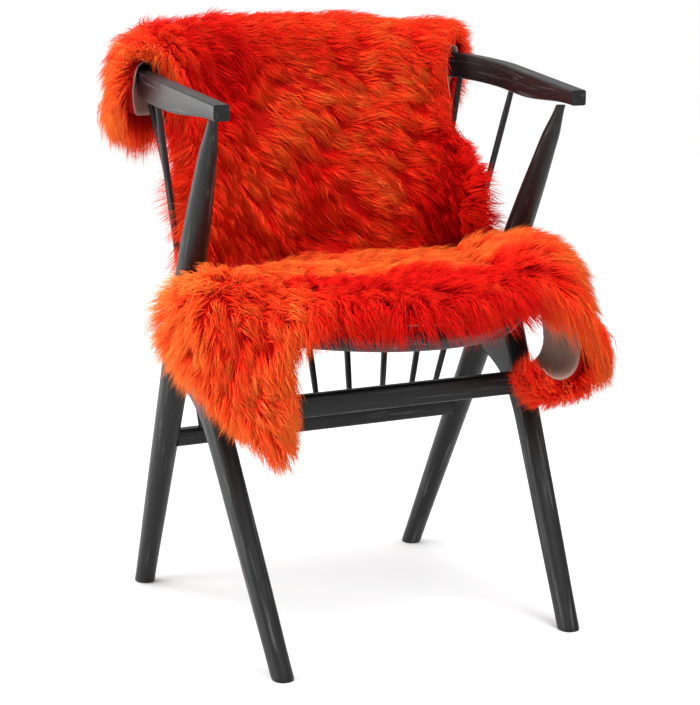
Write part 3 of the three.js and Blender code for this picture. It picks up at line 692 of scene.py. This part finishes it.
def shell(low, high):
    """Closed skin between two grids of points, joined round the rim. Returns points and triangles."""
    rows, columns = low.shape[0] - 1, low.shape[1] - 1
    index = np.arange(low.shape[0] * low.shape[1]).reshape(low.shape[:2])
    a, b = index[:-1, :-1].ravel(), index[:-1, 1:].ravel()
    c, d = index[1:, 1:].ravel(), index[1:, :-1].ravel()
    under = np.concatenate([np.stack([a, b, c], 1), np.stack([a, c, d], 1)])
    count = index.size
    rim = np.concatenate([index[0, :-1], index[:-1, columns], index[rows, :0:-1], index[:0:-1, 0]])
    after = np.roll(rim, -1)
    wall = np.concatenate([
        np.stack([rim, after + count, after], 1),
        np.stack([rim, rim + count, after + count], 1),
    ])
    points = np.concatenate([low.reshape(-1, 3), high.reshape(-1, 3)])
    return points, np.concatenate([under, under[:, ::-1] + count, wall])


WOOD_TO_SKIN = 0.0022
POST_CLEAR = 0.0195
FRONT_CLEAR = 0.0200
ARM_CLEAR = 0.0190
SEAT_CLEAR = 1.02


def clear_of_wood(points, room):
    """Points moved out of the back legs, front legs, arms and seat, straight away from each one's middle."""
    points = points.copy()
    arm_angle = np.linspace(90, 90 + ARM_TURN, 7)
    arm_line = rail_plan(arm_angle)
    arm_line = np.column_stack([arm_line, rail_top(arm_line[:, 1]) - RAIL_HIGH / 2])
    sticks = [
        (POST_FOOT, POST_HEAD, POST_CLEAR),
        (FRONT_FOOT, FRONT_JOINT, FRONT_CLEAR),
        (arm_line[0], arm_line[-1], ARM_CLEAR),
    ]
    for side in (-1, 1):
        for start, end, radius in sticks:
            start, end = start * [side, 1, 1], end * [side, 1, 1]
            way = end - start
            part = np.clip((points - start) @ way / (way @ way), 0, 1)
            nearest = start + part[..., None] * way
            away = points - nearest
            distance = np.linalg.norm(away, axis=-1, keepdims=True)
            wanted = radius + room
            points = np.where(distance < wanted, nearest + away / np.maximum(distance, 1e-6) * wanted, points)
    share = seat_share(points[..., 0], points[..., 1])
    z = points[..., 2]
    beside_seat = (z < SEAT_TOP) & (z > SEAT_TOP - SEAT_THICK - room) & (share < SEAT_CLEAR)
    grow = np.where(beside_seat, SEAT_CLEAR / np.maximum(share, 0.5), 1)
    points[..., :2] *= grow[..., None]
    return points


SUEDE_DARK = (0.25, 0.15, 0.115, 1)
SUEDE_LIGHT = (0.42, 0.29, 0.235, 1)
hide_suede, hide_wire, paint_hide = material("undyed_suede", roughness=0.88)
hide_place = hide_wire.node("TexCoord", output="Object")
hide_mottle = hide_wire.noise(hide_place, scale=26, detail=4, roughness=0.6)
hide_nap = hide_wire.noise(hide_place, scale=1400, detail=2, roughness=0.6)
paint_hide("Base Color", hide_wire.blend(hide_mottle, SUEDE_DARK, SUEDE_LIGHT))
paint_hide("Normal", hide_wire.bump(0.4, 0.0005, hide_nap + hide_mottle))

HIDE_COLUMNS = 76
HIDE_ROWS = 104
hide_s, hide_v = flat_grid(HIDE_COLUMNS, HIDE_ROWS)
hide_low, _, _, hide_grown = skin_frame(hide_s, hide_v)
hide_low = clear_of_wood(hide_low, WOOD_TO_SKIN)
hide = solid("hide", *shell(hide_low, hide_low + HIDE_THICK * hide_grown), hide_suede)
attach(hide, "root")
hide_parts("sheepskin")

# Wool, lower part. Under the locks the fleece is dense and matted: one soft body that thins out to the skin's
# edge. It is painted a darker red than the hairs, as painted shade in the gaps between the locks.
PILE_SHARES = [
    (-0.500, 0.95), (-0.400, 1.04), (-0.338, 0.78), (-0.290, 0.92), (-0.120, 0.96), (-0.050, 0.62),
    (0.0, 0.36), (0.060, 0.70), (0.130, 1.0), (0.300, 1.04), (0.450, 1.0),
]
MAT_SHARE = 0.62
MAT_RIM = 0.042
MAT_GAP = 0.0003
MAT_THIN = 0.0006
# Darker than any hair's colour: painted shade for the gaps between the locks, mottled at random.
MAT_DARK = (0.26, 0.0008, 0.0005, 1)
MAT_LIGHT = (0.46, 0.004, 0.001, 1)


def pile(s, v):
    """Depth of the wool: the table's share of its full depth, times 1 plus two low, bent sine waves."""
    lump = 1 + 0.07 * np.sin(s / 0.023 + 1.3 * np.sin(v / 0.041)) \
        + 0.06 * np.sin(v / 0.019 + 1.7 * np.sin(s / 0.037 + 0.6))
    return PILE * along(PILE_SHARES, v) * lump


def to_rim(s, v):
    """Distance of flat places from the skin's sides and from its ends. Outside the skin they are below 0."""
    sign = np.where(s < 0, -1.0, 1.0)
    wide = half_width(v, sign)
    a = np.clip(s / wide, -1, 1)
    rear, front = skin_ends(a)
    return wide - np.abs(s), v - rear, front - v


def rim_way(s, v, step=0.002):
    """Distance of flat places from the skin's rim, and the way out to it, which is minus its slope."""
    near = np.minimum.reduce(to_rim(s, v))
    slope_s = np.minimum.reduce(to_rim(s + step, v)) - np.minimum.reduce(to_rim(s - step, v))
    slope_v = np.minimum.reduce(to_rim(s, v + step)) - np.minimum.reduce(to_rim(s, v - step))
    steep = np.hypot(slope_s, slope_v) + 1e-9
    return near * 2 * step / steep, -slope_s / steep, -slope_v / steep


wool_mat, mat_wire, paint_mat = material("dyed_wool_mat_painted_shade", roughness=0.95)
mat_place = mat_wire.node("TexCoord", output="Object")
mat_noise = mat_wire.noise(mat_place, scale=160, detail=4, roughness=0.65)
paint_mat("Base Color", mat_wire.blend(mat_noise, MAT_DARK, MAT_LIGHT))
paint_mat("Specular IOR Level", 0.1)
paint_mat("Normal", mat_wire.bump(0.8, 0.003, mat_noise))

mat_edge = np.clip(rim_way(hide_s, hide_v)[0], 0, MAT_RIM)
mat_round = np.sqrt(1 - (1 - mat_edge / MAT_RIM) ** 2)
mat_deep = HIDE_THICK + MAT_THIN + MAT_SHARE * pile(hide_s, hide_v) * mat_round
mat_low = hide_low + (HIDE_THICK + MAT_GAP) * hide_grown
mat_high = clear_of_wood(hide_low + mat_deep[..., None] * hide_grown, WOOD_TO_SKIN)
wool_body = solid("wool_mat", *shell(mat_low, mat_high), wool_mat)

# Wool, locks. Long soft waves of hair that lie the way they were brushed, gathered in loose locks. At the
# skin's rim they lean outwards and hang. Their colour carries painted light: deep red towards the root as
# painted shade and bright orange towards the tip as a painted glow.
LOCK_LATTICE = 0.0074
LATTICE_S = (-0.42, 0.42)
LATTICE_V = (-0.52, 0.47)
LATTICE_JITTER = 0.3
LATTICE_CROWDING = 3.4
CROWDING_LEAST = 0.90
CROWDING_DEPTH = 0.75
RIM_ACROSS = (0.985, 0.945)
RIM_ALONG = (0.006, 0.018)
RIM_PLACES = 800
RIM_JUMP = 0.05
RIM_SPACING = 0.0068
RIM_REACH = 0.036
# A lock: its hairs, and how it spreads, turns, rises, reaches, droops, bends and draws in.
HAIRS_IN_LOCK = 38
LONG_SHARE = 0.30
LOCK_SPREAD = 0.0105
LOCK_ROOT = 0.75
LOCK_TURN = 0.16
LOCK_SWIRL = 0.32
LOCK_RISES = (0.90, 1.04)
LOCK_REACHES = (1.05, 0.45)
REACH_LEAST = 0.014
LOCK_DROOP = 0.004
LOCK_BEND = 0.0040
LOCK_DRAWS = (0.35, 0.70)
WAVE_SIZES = (0.0010, 0.0014)
# A hair: its radius, length and straying, and its stations with its thickness at each but the tip.
HAIR_ROOT_R = 0.00064
HAIR_LENGTH = 0.056
HAIR_STRAY = 0.0022
HAIR_TO_WOOD = 0.0015
LONG_HAIR = ([0.12, 0.58, 1.0], [1.0, 0.8])
SHORT_HAIR = ([0.14, 1.0], [1.0])
# Its tone, which carries painted light: low at the root as painted shade deep in the wool, more at the tip as
# a painted glow, raised or lowered by the table's painted light and shade, higher in the lock's middle as a
# painted highlight on its ridge and lower at its sides as painted shade, and at random for each lock and
# hair. The colours are for tones from 0 to 1.
TONE_ROOT = 0.10
PAINTED_GLOW_TO_TIP = 0.58
TONE_PAINTED_LIGHT = 0.9
PAINTED_RIDGE_LIGHT = 0.16
TONE_LOCK = 0.08
TONE_HAIR = 0.05
HAIR_COLOURS = [
    (0.0, (0.52, 0.0005, 0.0007, 1)), (0.3, (0.86, 0.0055, 0.0030, 1)),
    (0.65, (0.97, 0.056, 0.0125, 1)), (1.0, (0.97, 0.23, 0.034, 1)),
]
# How the wool was brushed, at flat places s and v: its way across and along the skin, how far it stands
# up (1 is upright), and its painted light: above 0.5 its tone is raised as painted light, below it lowered as
# painted shade.
BRUSHED = [
    (-0.3, -0.35, -0.6, -0.6, 0.5, 0.73), (-0.33, -0.4, -0.4, -1, 0.4, 0.87),
    (-0.25, -0.345, -0.3, -0.5, 0.7, 0.61), (-0.25, -0.4, -0.1, -1, 0.4, 0.75),
    (-0.2, -0.44, 0, -1, 0.4, 0.6), (-0.05, -0.42, 0.1, -1, 0.3, 0.55), (0.1, -0.42, 0, -1, 0.3, 0.55),
    (0.2, -0.4, 0.3, -1, 0.4, 0.6), (-0.15, -0.345, 0.6, -0.3, 0.8, 0.49),
    (-0.05, -0.345, 0.8, -0.2, 0.7, 0.55), (0.05, -0.345, 0.9, -0.2, 0.7, 0.55),
    (0.15, -0.345, 1, -0.1, 0.5, 0.6), (0.25, -0.34, 1, 0, 0.4, 0.65), (-0.24, -0.31, 0.1, 0.8, 0.41, 0.32),
    (-0.19, -0.31, 0.4, 0.9, 0.57, 0), (-0.15, -0.29, 0.4, 0.9, 0.49, 0),
    (-0.1, -0.31, 0.5, 0.7, 0.41, 0.12), (-0.05, -0.3, 0.7, 0.5, 0.33, 0.49),
    (0, -0.305, 0.9, 0.35, 0.25, 0.57), (0.05, -0.315, 1, 0.1, 0.25, 0.47),
    (0.1, -0.3, 1, 0.15, 0.25, 0.62), (0.15, -0.3, 1, 0.1, 0.25, 0.67), (0.2, -0.3, 1, 0.3, 0.25, 0.62),
    (0.25, -0.3, 0.9, 0.5, 0.25, 0.45), (-0.22, -0.25, 0.2, 0.9, 0.33, 0.37),
    (-0.15, -0.25, 0.5, 0.8, 0.33, 0.1), (-0.1, -0.25, 0.55, 0.8, 0.29, 0.32),
    (-0.05, -0.25, 0.6, 0.75, 0.25, 0.7), (0, -0.25, 0.75, 0.6, 0.25, 0.74),
    (0.05, -0.25, 0.9, 0.45, 0.25, 0.74), (0.1, -0.25, 1, 0.25, 0.25, 0.74),
    (0.15, -0.255, 1, 0.2, 0.25, 0.64), (0.2, -0.25, 1, 0.2, 0.25, 0.62),
    (0.25, -0.25, 0.8, 0.5, 0.25, 0.4), (-0.2, -0.2, 0.2, 1, 0.29, 0.5),
    (-0.12, -0.2, 0.45, 0.9, 0.25, 0.48), (-0.05, -0.2, 0.6, 0.8, 0.25, 0.74),
    (0, -0.2, 0.7, 0.7, 0.25, 0.77), (0.05, -0.2, 0.85, 0.5, 0.25, 0.72), (0.1, -0.2, 1, 0.3, 0.25, 0.67),
    (0.15, -0.2, 1, 0.15, 0.25, 0.62), (0.2, -0.195, 1, 0.2, 0.25, 0.44),
    (0.24, -0.19, 0.9, 0.4, 0.25, 0.14), (-0.14, -0.15, 0.3, 1, 0.25, 0.58),
    (-0.1, -0.15, 0.4, 0.9, 0.25, 0.65), (-0.05, -0.15, 0.6, 0.8, 0.25, 0.72),
    (0, -0.15, 0.6, 0.8, 0.25, 0.5), (0.03, -0.14, 0.3, 0.9, 0.41, 0.24),
    (0.07, -0.15, 0.9, 0.4, 0.25, 0.64), (0.12, -0.15, 1, 0.15, 0.25, 0.62),
    (0.17, -0.15, 1, 0.2, 0.25, 0.62), (0.22, -0.15, 0.9, 0.5, 0.25, 0.09),
    (-0.2, -0.11, 0.1, 1, 0.29, 0.55), (-0.15, -0.1, 0.25, 1, 0.25, 0.55), (-0.1, -0.1, 0.3, 1, 0.25, 0.6),
    (-0.06, -0.1, 0.4, 0.9, 0.25, 0.74), (-0.02, -0.11, 0.2, 1, 0.33, 0.47),
    (0.02, -0.1, 0.3, 1, 0.33, 0.3), (0.06, -0.11, 0.7, 0.7, 0.25, 0.74),
    (0.1, -0.11, 0.9, 0.5, 0.25, 0.74), (0.14, -0.11, 0.8, 0.6, 0.25, 0.67),
    (0.19, -0.11, 0.6, 0.8, 0.25, 0.28), (0.24, -0.1, 0.1, 1, 0.33, -0.04),
    (0.3, -0.13, 0.9, -0.2, 0.41, 0.14), (0.35, -0.09, 1, 0, 0.41, 0.24), (-0.2, -0.05, 0.1, 1, 0.33, 0.5),
    (-0.15, -0.05, 0.1, 1, 0.25, 0.5), (-0.1, -0.05, 0.2, 1, 0.25, 0.55),
    (-0.05, -0.05, 0.5, 0.8, 0.25, 0.4), (0, -0.05, 0.7, 0.6, 0.25, 0.35),
    (0.05, -0.05, 0.8, 0.5, 0.25, 0.43), (0.1, -0.06, 0.9, 0.3, 0.25, 0.57),
    (0.15, -0.05, 0.9, 0.3, 0.25, 0.5), (0.2, -0.05, 0.7, 0.5, 0.25, 0.24),
    (0.25, -0.06, 0.3, 0.8, 0.25, 0.04), (0, 0.06, 1, 0.1, 0.3, 0.71), (0, 0.1, 1, 0.1, 0.3, 0.79),
    (0.1, 0.1, 1, 0.1, 0.25, 0.83), (0.15, 0.14, 1, 0.3, 0.25, 0.86), (-0.1, 0.13, 0.6, 0.6, 0.3, 0.81),
    (-0.15, 0.15, 0.2, 0.9, 0.35, 0.86), (0, 0.18, 0.8, 0.5, 0.3, 0.89), (-0.05, 0.2, 0.3, 0.9, 0.4, 0.98),
    (0.1, 0.2, 0.9, 0.4, 0.3, 0.83), (0, 0.26, 0.5, 0.8, 0.5, 0.25), (0, 0.32, 0.4, 0.9, 0.6, 0.07),
    (-0.1, 0.29, 0.3, 0.9, 0.6, 0.05), (-0.12, 0.34, 0.2, 1, 0.6, 0.05), (0.1, 0.32, 0.5, 0.9, 0.6, 0.11),
    (0, 0.38, 0.3, 1, 0.6, 0.1), (0, 0.41, 0.25, 1, 0.4, 0.27), (-0.1, 0.38, 0.1, 1, 0.4, 0.25),
    (0.1, 0.38, 0.35, 1, 0.4, 0.25), (0.15, 0.3, 0.6, 0.7, 0.5, 0.2), (0.2, 0.25, 0.8, 0.5, 0.3, 0.7),
    (0.15, 0.22, 0.9, 0.4, 0.3, 0.87), (0.2, 0.33, 0.6, 0.8, 0.4, 0.68), (0.25, 0.25, 1, 0.3, 0.3, 0.84),
    (0.25, 0.3, 0.9, 0.5, 0.3, 0.78), (0.3, 0.3, 0.9, 0.4, 0.4, 0.73), (0.35, 0.3, 1, 0.2, 0.5, 0.57),
    (0.39, 0.32, 1, 0, 0.5, 0.47), (-0.2, 0.2, -0.6, 0.6, 0.4, 0.88), (-0.25, 0.22, -0.8, 0.5, 0.5, 0.95),
    (-0.27, 0.26, -0.7, 0.7, 0.5, 0.92), (-0.2, 0.26, -0.3, 0.9, 0.5, 0.62), (-0.21, 0.29, 0, 1, 0.6, 0.32),
    (-0.18, 0.3, 0.1, 1, 0.4, 0.65), (-0.16, 0.34, 0.3, 0.9, 0.4, 0.72), (-0.25, 0.3, -0.3, 1, 0.4, 0.75),
    (-0.2, 0.33, 0.1, 1, 0.3, 0.86), (-0.22, 0.36, 0.2, 1, 0.3, 0.78), (-0.25, 0.35, -0.1, 1, 0.3, 0.72),
    (-0.29, 0.32, -0.6, 0.8, 0.4, 0.82), (-0.26, 0.4, 0.2, 1, 0.3, 0.8), (-0.23, 0.4, 0.5, 0.9, 0.3, 0.8),
    (-0.25, 0.43, 0.4, 1, 0.3, 0.82),
]
BRUSH_REACH = 0.038
# The wool at the skin's rim, near flat places s and v: how much it leans outwards, its length, how far its
# tips are carried away from the middle, to the back and down, and how far they wrap round the rim.
RIM_WOOL = [
    (-0.3, -0.3, 1.2, 0.056, 0.014, 0, 0.026, 0), (-0.262, -0.22, 1.5, 0.054, 0.042, -0.004, 0.004, 0),
    (-0.262, -0.14, 1.4, 0.054, 0.058, 0, 0.002, 0), (-0.28, -0.06, 1.4, 0.052, 0.052, 0, 0.002, 0),
    (-0.34, -0.35, 1.5, 0.052, 0.034, 0, -0.006, 0), (-0.34, -0.39, 1.2, 0.036, -0.006, 0.004, 0.01, 0.012),
    (-0.28, -0.412, 1.2, 0.046, -0.008, -0.008, 0.022, 0.01),
    (-0.2, -0.436, 1.2, 0.05, 0.006, -0.016, 0.03, 0.006), (-0.09, -0.445, 1.4, 0.044, 0, 0, 0.02, 0),
    (0.1, -0.47, 1.4, 0.036, 0, 0, 0.01, 0), (0.24, -0.43, 1.2, 0.026, 0, 0, 0.01, 0),
    (0.25, -0.34, 0.9, 0.02, -0.004, 0, 0.006, 0), (0.25, -0.24, 0.9, 0.02, -0.004, 0, 0.01, 0),
    (0.3, -0.17, 1.3, 0.034, 0.004, 0, 0.008, 0), (0.35, -0.12, 1.4, 0.046, 0.032, 0.004, 0.012, 0),
    (0.36, -0.06, 1.4, 0.048, 0.056, 0.004, 0.01, 0), (0.31, 0, 1.3, 0.05, 0.046, 0, 0.004, 0),
    (0.23, 0.1, 1.2, 0.036, 0.01, 0, 0.006, 0), (0.3, 0.22, 1.6, 0.044, -0.004, 0.01, 0.014, 0),
    (0.36, 0.25, 1.6, 0.044, -0.008, 0.01, 0.014, 0), (0.395, 0.29, 1.2, 0.036, 0, 0, 0, 0.03),
    (0.39, 0.35, 1.1, 0.058, 0.018, 0, -0.022, 0.018),
    (0.34, 0.352, 1.1, 0.058, 0.012, 0.004, -0.022, 0.024),
    (0.28, 0.346, 1, 0.054, -0.016, 0, 0.066, 0.004), (0.22, 0.338, 1.2, 0.054, -0.008, -0.004, 0.068, 0),
    (0.15, 0.352, 1.6, 0.048, 0.004, -0.004, 0.058, 0), (0.05, 0.405, 1.6, 0.042, 0.004, -0.004, 0.054, 0),
    (-0.06, 0.405, 1.6, 0.042, 0, -0.004, 0.054, 0), (-0.14, 0.366, 1.6, 0.042, 0, -0.004, 0.048, 0),
    (-0.18, 0.356, 1, 0.032, -0.004, 0, 0.026, 0), (-0.215, 0.39, 0.9, 0.03, 0.004, 0, 0.018, 0),
    (-0.27, 0.438, 0.8, 0.034, -0.006, 0, 0.018, 0), (-0.3, 0.39, 0.7, 0.026, -0.004, 0, 0.014, 0),
    (-0.3, 0.32, 0.8, 0.028, 0, 0, 0.012, 0), (-0.3, 0.26, 1.1, 0.034, 0.004, 0, 0.01, 0),
    (-0.27, 0.21, 1.3, 0.044, 0.008, 0.012, 0, 0), (-0.23, 0.18, 1.3, 0.046, 0.004, 0.01, 0, 0),
    (-0.214, 0.13, 1.2, 0.04, 0.01, 0, 0.004, 0),
]
RIM_WOOL_REACH = 0.045

random = np.random.default_rng(11)


def crowding(s, v):
    """How much wider the wool's outside is than the skin under it: more over a fold, less in a crease."""
    step = 0.006
    corners = []
    for ds, dv in ((step, 0), (-step, 0), (0, step), (0, -step)):
        root, _, _, grown = skin_frame(s + ds, v + dv)
        corners.append((root, root + CROWDING_DEPTH * pile(s, v)[:, None] * grown))
    wide = [
        np.linalg.norm(np.cross(corners[0][k] - corners[1][k], corners[2][k] - corners[3][k]), axis=1)
        for k in (0, 1)
    ]
    return np.clip(wide[1] / wide[0], CROWDING_LEAST, LATTICE_CROWDING)


def lock_places():
    """Flat places of the locks: a jittered lattice, thinned to an even cover, and two rows along the rim."""
    s, v = np.meshgrid(np.arange(*LATTICE_S, LOCK_LATTICE), np.arange(*LATTICE_V, LOCK_LATTICE))
    s = (s + random.normal(0, LOCK_LATTICE * LATTICE_JITTER, s.shape)).ravel()
    v = (v + random.normal(0, LOCK_LATTICE * LATTICE_JITTER, v.shape)).ravel()
    inside = np.minimum.reduce(to_rim(s, v)) > 0
    s, v = s[inside], v[inside]
    kept = random.random(len(s)) < crowding(s, v) / LATTICE_CROWDING
    share = np.linspace(0, 1, RIM_PLACES)
    ones = np.ones(RIM_PLACES)
    rim_a = np.concatenate([
        inset * way for inset in RIM_ACROSS for way in (2 * share - 1, 2 * share - 1, -ones, ones)
    ])
    rim_t = np.concatenate([
        side for inset in RIM_ALONG for side in (inset * ones, (1 - inset) * ones, share, share)
    ])
    rear, front = skin_ends(rim_a)
    rim_v = mix(rear, front, rim_t)
    rim_s = rim_a * half_width(rim_v, rim_a)
    step = np.hypot(np.diff(rim_s, prepend=rim_s[0]), np.diff(rim_v, prepend=rim_v[0]))
    run = np.cumsum(np.where(step > RIM_JUMP, 0, step))
    chosen = np.unique(np.searchsorted(run, np.arange(0, run[-1], RIM_SPACING)))
    return np.concatenate([s[kept], rim_s[chosen]]), np.concatenate([v[kept], rim_v[chosen]])


lock_s, lock_v = lock_places()
locks = len(lock_s)


def near_rows(rows, reach, far):
    """A table's columns at the locks: its rows' mean, weighted by exp(-(distance / reach) squared).

    A trace of 1 / distance squared, far, leads where every row is out of reach.
    """
    rows = np.array(rows)
    away = (lock_s[:, None] - rows[:, 0]) ** 2 + (lock_v[:, None] - rows[:, 1]) ** 2
    weight = np.exp(-away / reach**2) + far / (away + 1e-4)
    return (weight @ rows[:, 2:] / weight.sum(1, keepdims=True)).T


# The table's last column is painted light and shade: brighter where the wool faces the light, darker in the
# crease and on faces turned away from it.
lean_s, lean_v, stand, painted_light = near_rows(BRUSHED, BRUSH_REACH, 1e-12)
rim_lean, rim_length, rim_out, rim_back, rim_hang, rim_wrap = near_rows(RIM_WOOL, RIM_WOOL_REACH, 1e-9)
rim_near, out_s, out_v = rim_way(lock_s, lock_v)
at_rim = 1 - ease(rim_near, 0, RIM_REACH)
lean_length = np.hypot(lean_s, lean_v) + 1e-6
lean_s = lean_s / lean_length + rim_lean * at_rim * out_s
lean_v = lean_v / lean_length + rim_lean * at_rim * out_v
turn = random.normal(0, LOCK_TURN, locks)
turn = turn + LOCK_SWIRL * np.sin(lock_s / 0.021 + 2.1 * np.sin(lock_v / 0.034))
lean_length = np.hypot(lean_s, lean_v) + 1e-6
lean_s, lean_v = lean_s / lean_length, lean_v / lean_length
lean_s, lean_v = lean_s * np.cos(turn) - lean_v * np.sin(turn), lean_s * np.sin(turn) + lean_v * np.cos(turn)

lock_root, lock_across, lock_forward, lock_grown = skin_frame(lock_s, lock_v)
lock_lean = lean_s[:, None] * lock_across + lean_v[:, None] * lock_forward
lock_lean /= np.linalg.norm(lock_lean, axis=1, keepdims=True)
lock_sideways = np.cross(lock_lean, lock_grown)
lock_deep = pile(lock_s, lock_v)
lock_sunk = MAT_SHARE * LOCK_ROOT
lock_rise = lock_deep * (mix(*LOCK_RISES, stand) + random.normal(0, 0.05, locks) - lock_sunk)
lock_length = mix(HAIR_LENGTH, rim_length, at_rim) * (0.9 + 0.25 * random.random(locks))
lock_length = lock_length * mix(0.75, 1.0, np.clip(lock_deep / PILE, 0, 1))
lock_reach = np.sqrt(np.maximum(lock_length**2 - lock_rise**2, REACH_LEAST**2)) * mix(*LOCK_REACHES, stand)
lock_reach = mix(lock_reach, 0.9 * lock_length, at_rim)
lock_carry = at_rim[:, None] * np.stack([rim_out * np.sign(lock_s), rim_back, -rim_hang], 1)
lock_carry[:, 2] -= LOCK_DROOP
lock_out = out_s[:, None] * lock_across + out_v[:, None] * lock_forward
lock_wrap = (-at_rim * rim_wrap)[:, None] * (0.7 * lock_grown + 1.1 * lock_out)
lock_bend = random.normal(0, LOCK_BEND, locks)
wave_size = WAVE_SIZES[0] + WAVE_SIZES[1] * random.random(locks)
wave_turn = random.random(locks) * 2 * math.pi
lock_draw = mix(*LOCK_DRAWS, random.random(locks))
lock_shade = random.normal(0, TONE_LOCK, locks)

hair_lock = np.repeat(np.arange(locks), HAIRS_IN_LOCK)
root_turn = random.random(len(hair_lock)) * 2 * math.pi
root_out = LOCK_SPREAD * np.sqrt(random.random(len(hair_lock)))
hair_s = lock_s[hair_lock] + root_out * np.cos(root_turn)
hair_v = lock_v[hair_lock] + root_out * np.sin(root_turn)
hair_rim = rim_way(hair_s, hair_v)[0]
kept = hair_rim > 0.0003
hair_lock, hair_s, hair_v, hair_rim = hair_lock[kept], hair_s[kept], hair_v[kept], hair_rim[kept]
hairs = len(hair_lock)
hair_root, _, _, hair_grown = skin_frame(hair_s, hair_v)
hair_round = np.sqrt(1 - (1 - np.clip(hair_rim / MAT_RIM, 0, 1)) ** 2)
hair_lift = HIDE_THICK * 0.8 + lock_sunk * pile(hair_s, hair_v) * hair_round
hair_root = hair_root + hair_lift[:, None] * hair_grown
lock_base = lock_root + lock_grown * (HIDE_THICK + lock_sunk * lock_deep)[:, None]
hair_from_lock = hair_root - lock_base[hair_lock]
own_middle = 1 - (root_out[kept] / LOCK_SPREAD) ** 2
stray = random.normal(0, HAIR_STRAY, (hairs, 3))
own_length = 0.78 + 0.28 * random.random(hairs)
own_rise = mix(0.78 + 0.26 * own_middle, 0.15 + 1.15 * random.random(hairs), at_rim[hair_lock])
own_wave = random.normal(0, 0.5, hairs)


def hair_at(part, which):
    """Points at a share of the way along hairs: each rises, leans more and more, waves, droops and draws in
    towards its lock's middle near the tip."""
    lock = hair_lock[which]
    grow = (part * own_length[which])[:, None]
    rise = (lock_rise[lock] * own_rise[which])[:, None] * np.sin(np.clip(1.15 * grow, 0, 1.15) * math.pi / 2)
    lean = lock_reach[lock, None] * grow**1.15
    phase = wave_turn[lock] + own_wave[which]
    wave = wave_size[lock] * (np.sin(phase + 5.0 * part) - np.sin(phase))
    wave = wave + lock_bend[lock] * math.sin(math.pi * part)
    draw = 1 - lock_draw[lock, None] * part**1.9
    return (
        lock_base[lock] + hair_from_lock[which] * draw
        + rise * lock_grown[lock] + lean * lock_lean[lock] + wave[:, None] * lock_sideways[lock]
        + lock_carry[lock] * grow**2 + lock_wrap[lock] * grow**3 + stray[which] * part**2
    )


def hair_tubes(which, stations, thickness):
    """Three-sided tapered tubes through points at the stations of hairs, each closed by its tip and root.

    Returns the points of each hair, the triangles of one hair and the share along it of each point.
    """
    line = clear_of_wood(np.stack([hair_at(part, which) for part in stations], 1), HAIR_TO_WOOD)
    ahead = np.gradient(line, axis=1)
    ahead /= np.linalg.norm(ahead, axis=2, keepdims=True)
    side = np.cross(ahead, np.broadcast_to(random.normal(0, 1, (len(which), 1, 3)), ahead.shape))
    side /= np.linalg.norm(side, axis=2, keepdims=True)
    other = np.cross(ahead, side)
    count = len(stations) - 1
    radius = HAIR_ROOT_R * (0.75 + 0.5 * random.random(len(which)))[:, None] * np.array(thickness)
    turn = (np.arange(3) * 2 * math.pi / 3)[:, None]
    rings = line[:, :count, None] + radius[..., None, None] * (
        np.cos(turn) * side[:, :count, None] + np.sin(turn) * other[:, :count, None]
    )
    points = np.concatenate([rings.reshape(len(which), 3 * count, 3), line[:, count:]], 1)
    quads = np.array([[k, (k + 1) % 3, 3 + (k + 1) % 3, 3 + k] for k in range(3)])
    halves = np.concatenate([quads[:, [0, 1, 2]], quads[:, [0, 2, 3]]])
    walls = [halves + 3 * k for k in range(count - 1)]
    last = 3 * (count - 1)
    tip = np.array([[last + k, last + (k + 1) % 3, 3 * count] for k in range(3)])
    return points, np.concatenate([*walls, tip, [[0, 2, 1]]]), np.append(np.repeat(stations[:count], 3), 1.0)


# The hair's base colour follows its tone, which holds painted light and shade as well as the wool's own
# random tone.
wool_hair, hair_wire, paint_hair = material("dyed_wool_hair_painted_light", roughness=0.62)
tone = hair_wire.node("Attribute", {"attribute_name": "tone"}, output="Fac")
paint_hair("Base Color", hair_wire.node("ValToRGB", {"stops": HAIR_COLOURS}, {"Fac": tone}))
paint_hair("Specular IOR Level", 0.08)

order = np.argsort(hair_s + 0.3 * hair_v, kind="stable")
long_hair = random.random(hairs) < mix(LONG_SHARE * 0.8, LONG_SHARE * 1.8, at_rim[hair_lock])
wool_pieces = [wool_body]
for number, (members, stations, thickness) in enumerate([
    *((part, *LONG_HAIR) for part in np.array_split(order[long_hair[order]], 3)),
    *((part, *SHORT_HAIR) for part in np.array_split(order[~long_hair[order]], 3)),
], 1):
    points, faces, share = hair_tubes(members, stations, thickness)
    # Painted light: the tone rises from root to tip as painted shade and glow, and the table's painted light
    # and shade and the painted highlight on each lock's middle are added. Only the random part for each lock
    # and hair is the wool's own tone.
    shade = lock_shade[hair_lock[members]] + TONE_PAINTED_LIGHT * (painted_light[hair_lock[members]] - 0.5)
    shade = shade + PAINTED_RIDGE_LIGHT * (own_middle[members] - 0.5) + random.normal(0, TONE_HAIR, len(members))
    hair_tone_with_painted_light = np.clip(TONE_ROOT + PAINTED_GLOW_TO_TIP * share + shade[:, None], 0, 1)
    triangles = (faces[None] + points.shape[1] * np.arange(len(members))[:, None, None]).reshape(-1, 3)
    wool_pieces.append(solid(
        f"wool_locks_{number}", points.reshape(-1, 3), triangles, wool_hair, tone=hair_tone_with_painted_light.ravel(),
    ))
for piece in wool_pieces:
    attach(piece, "root")
    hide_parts("sheepskin")
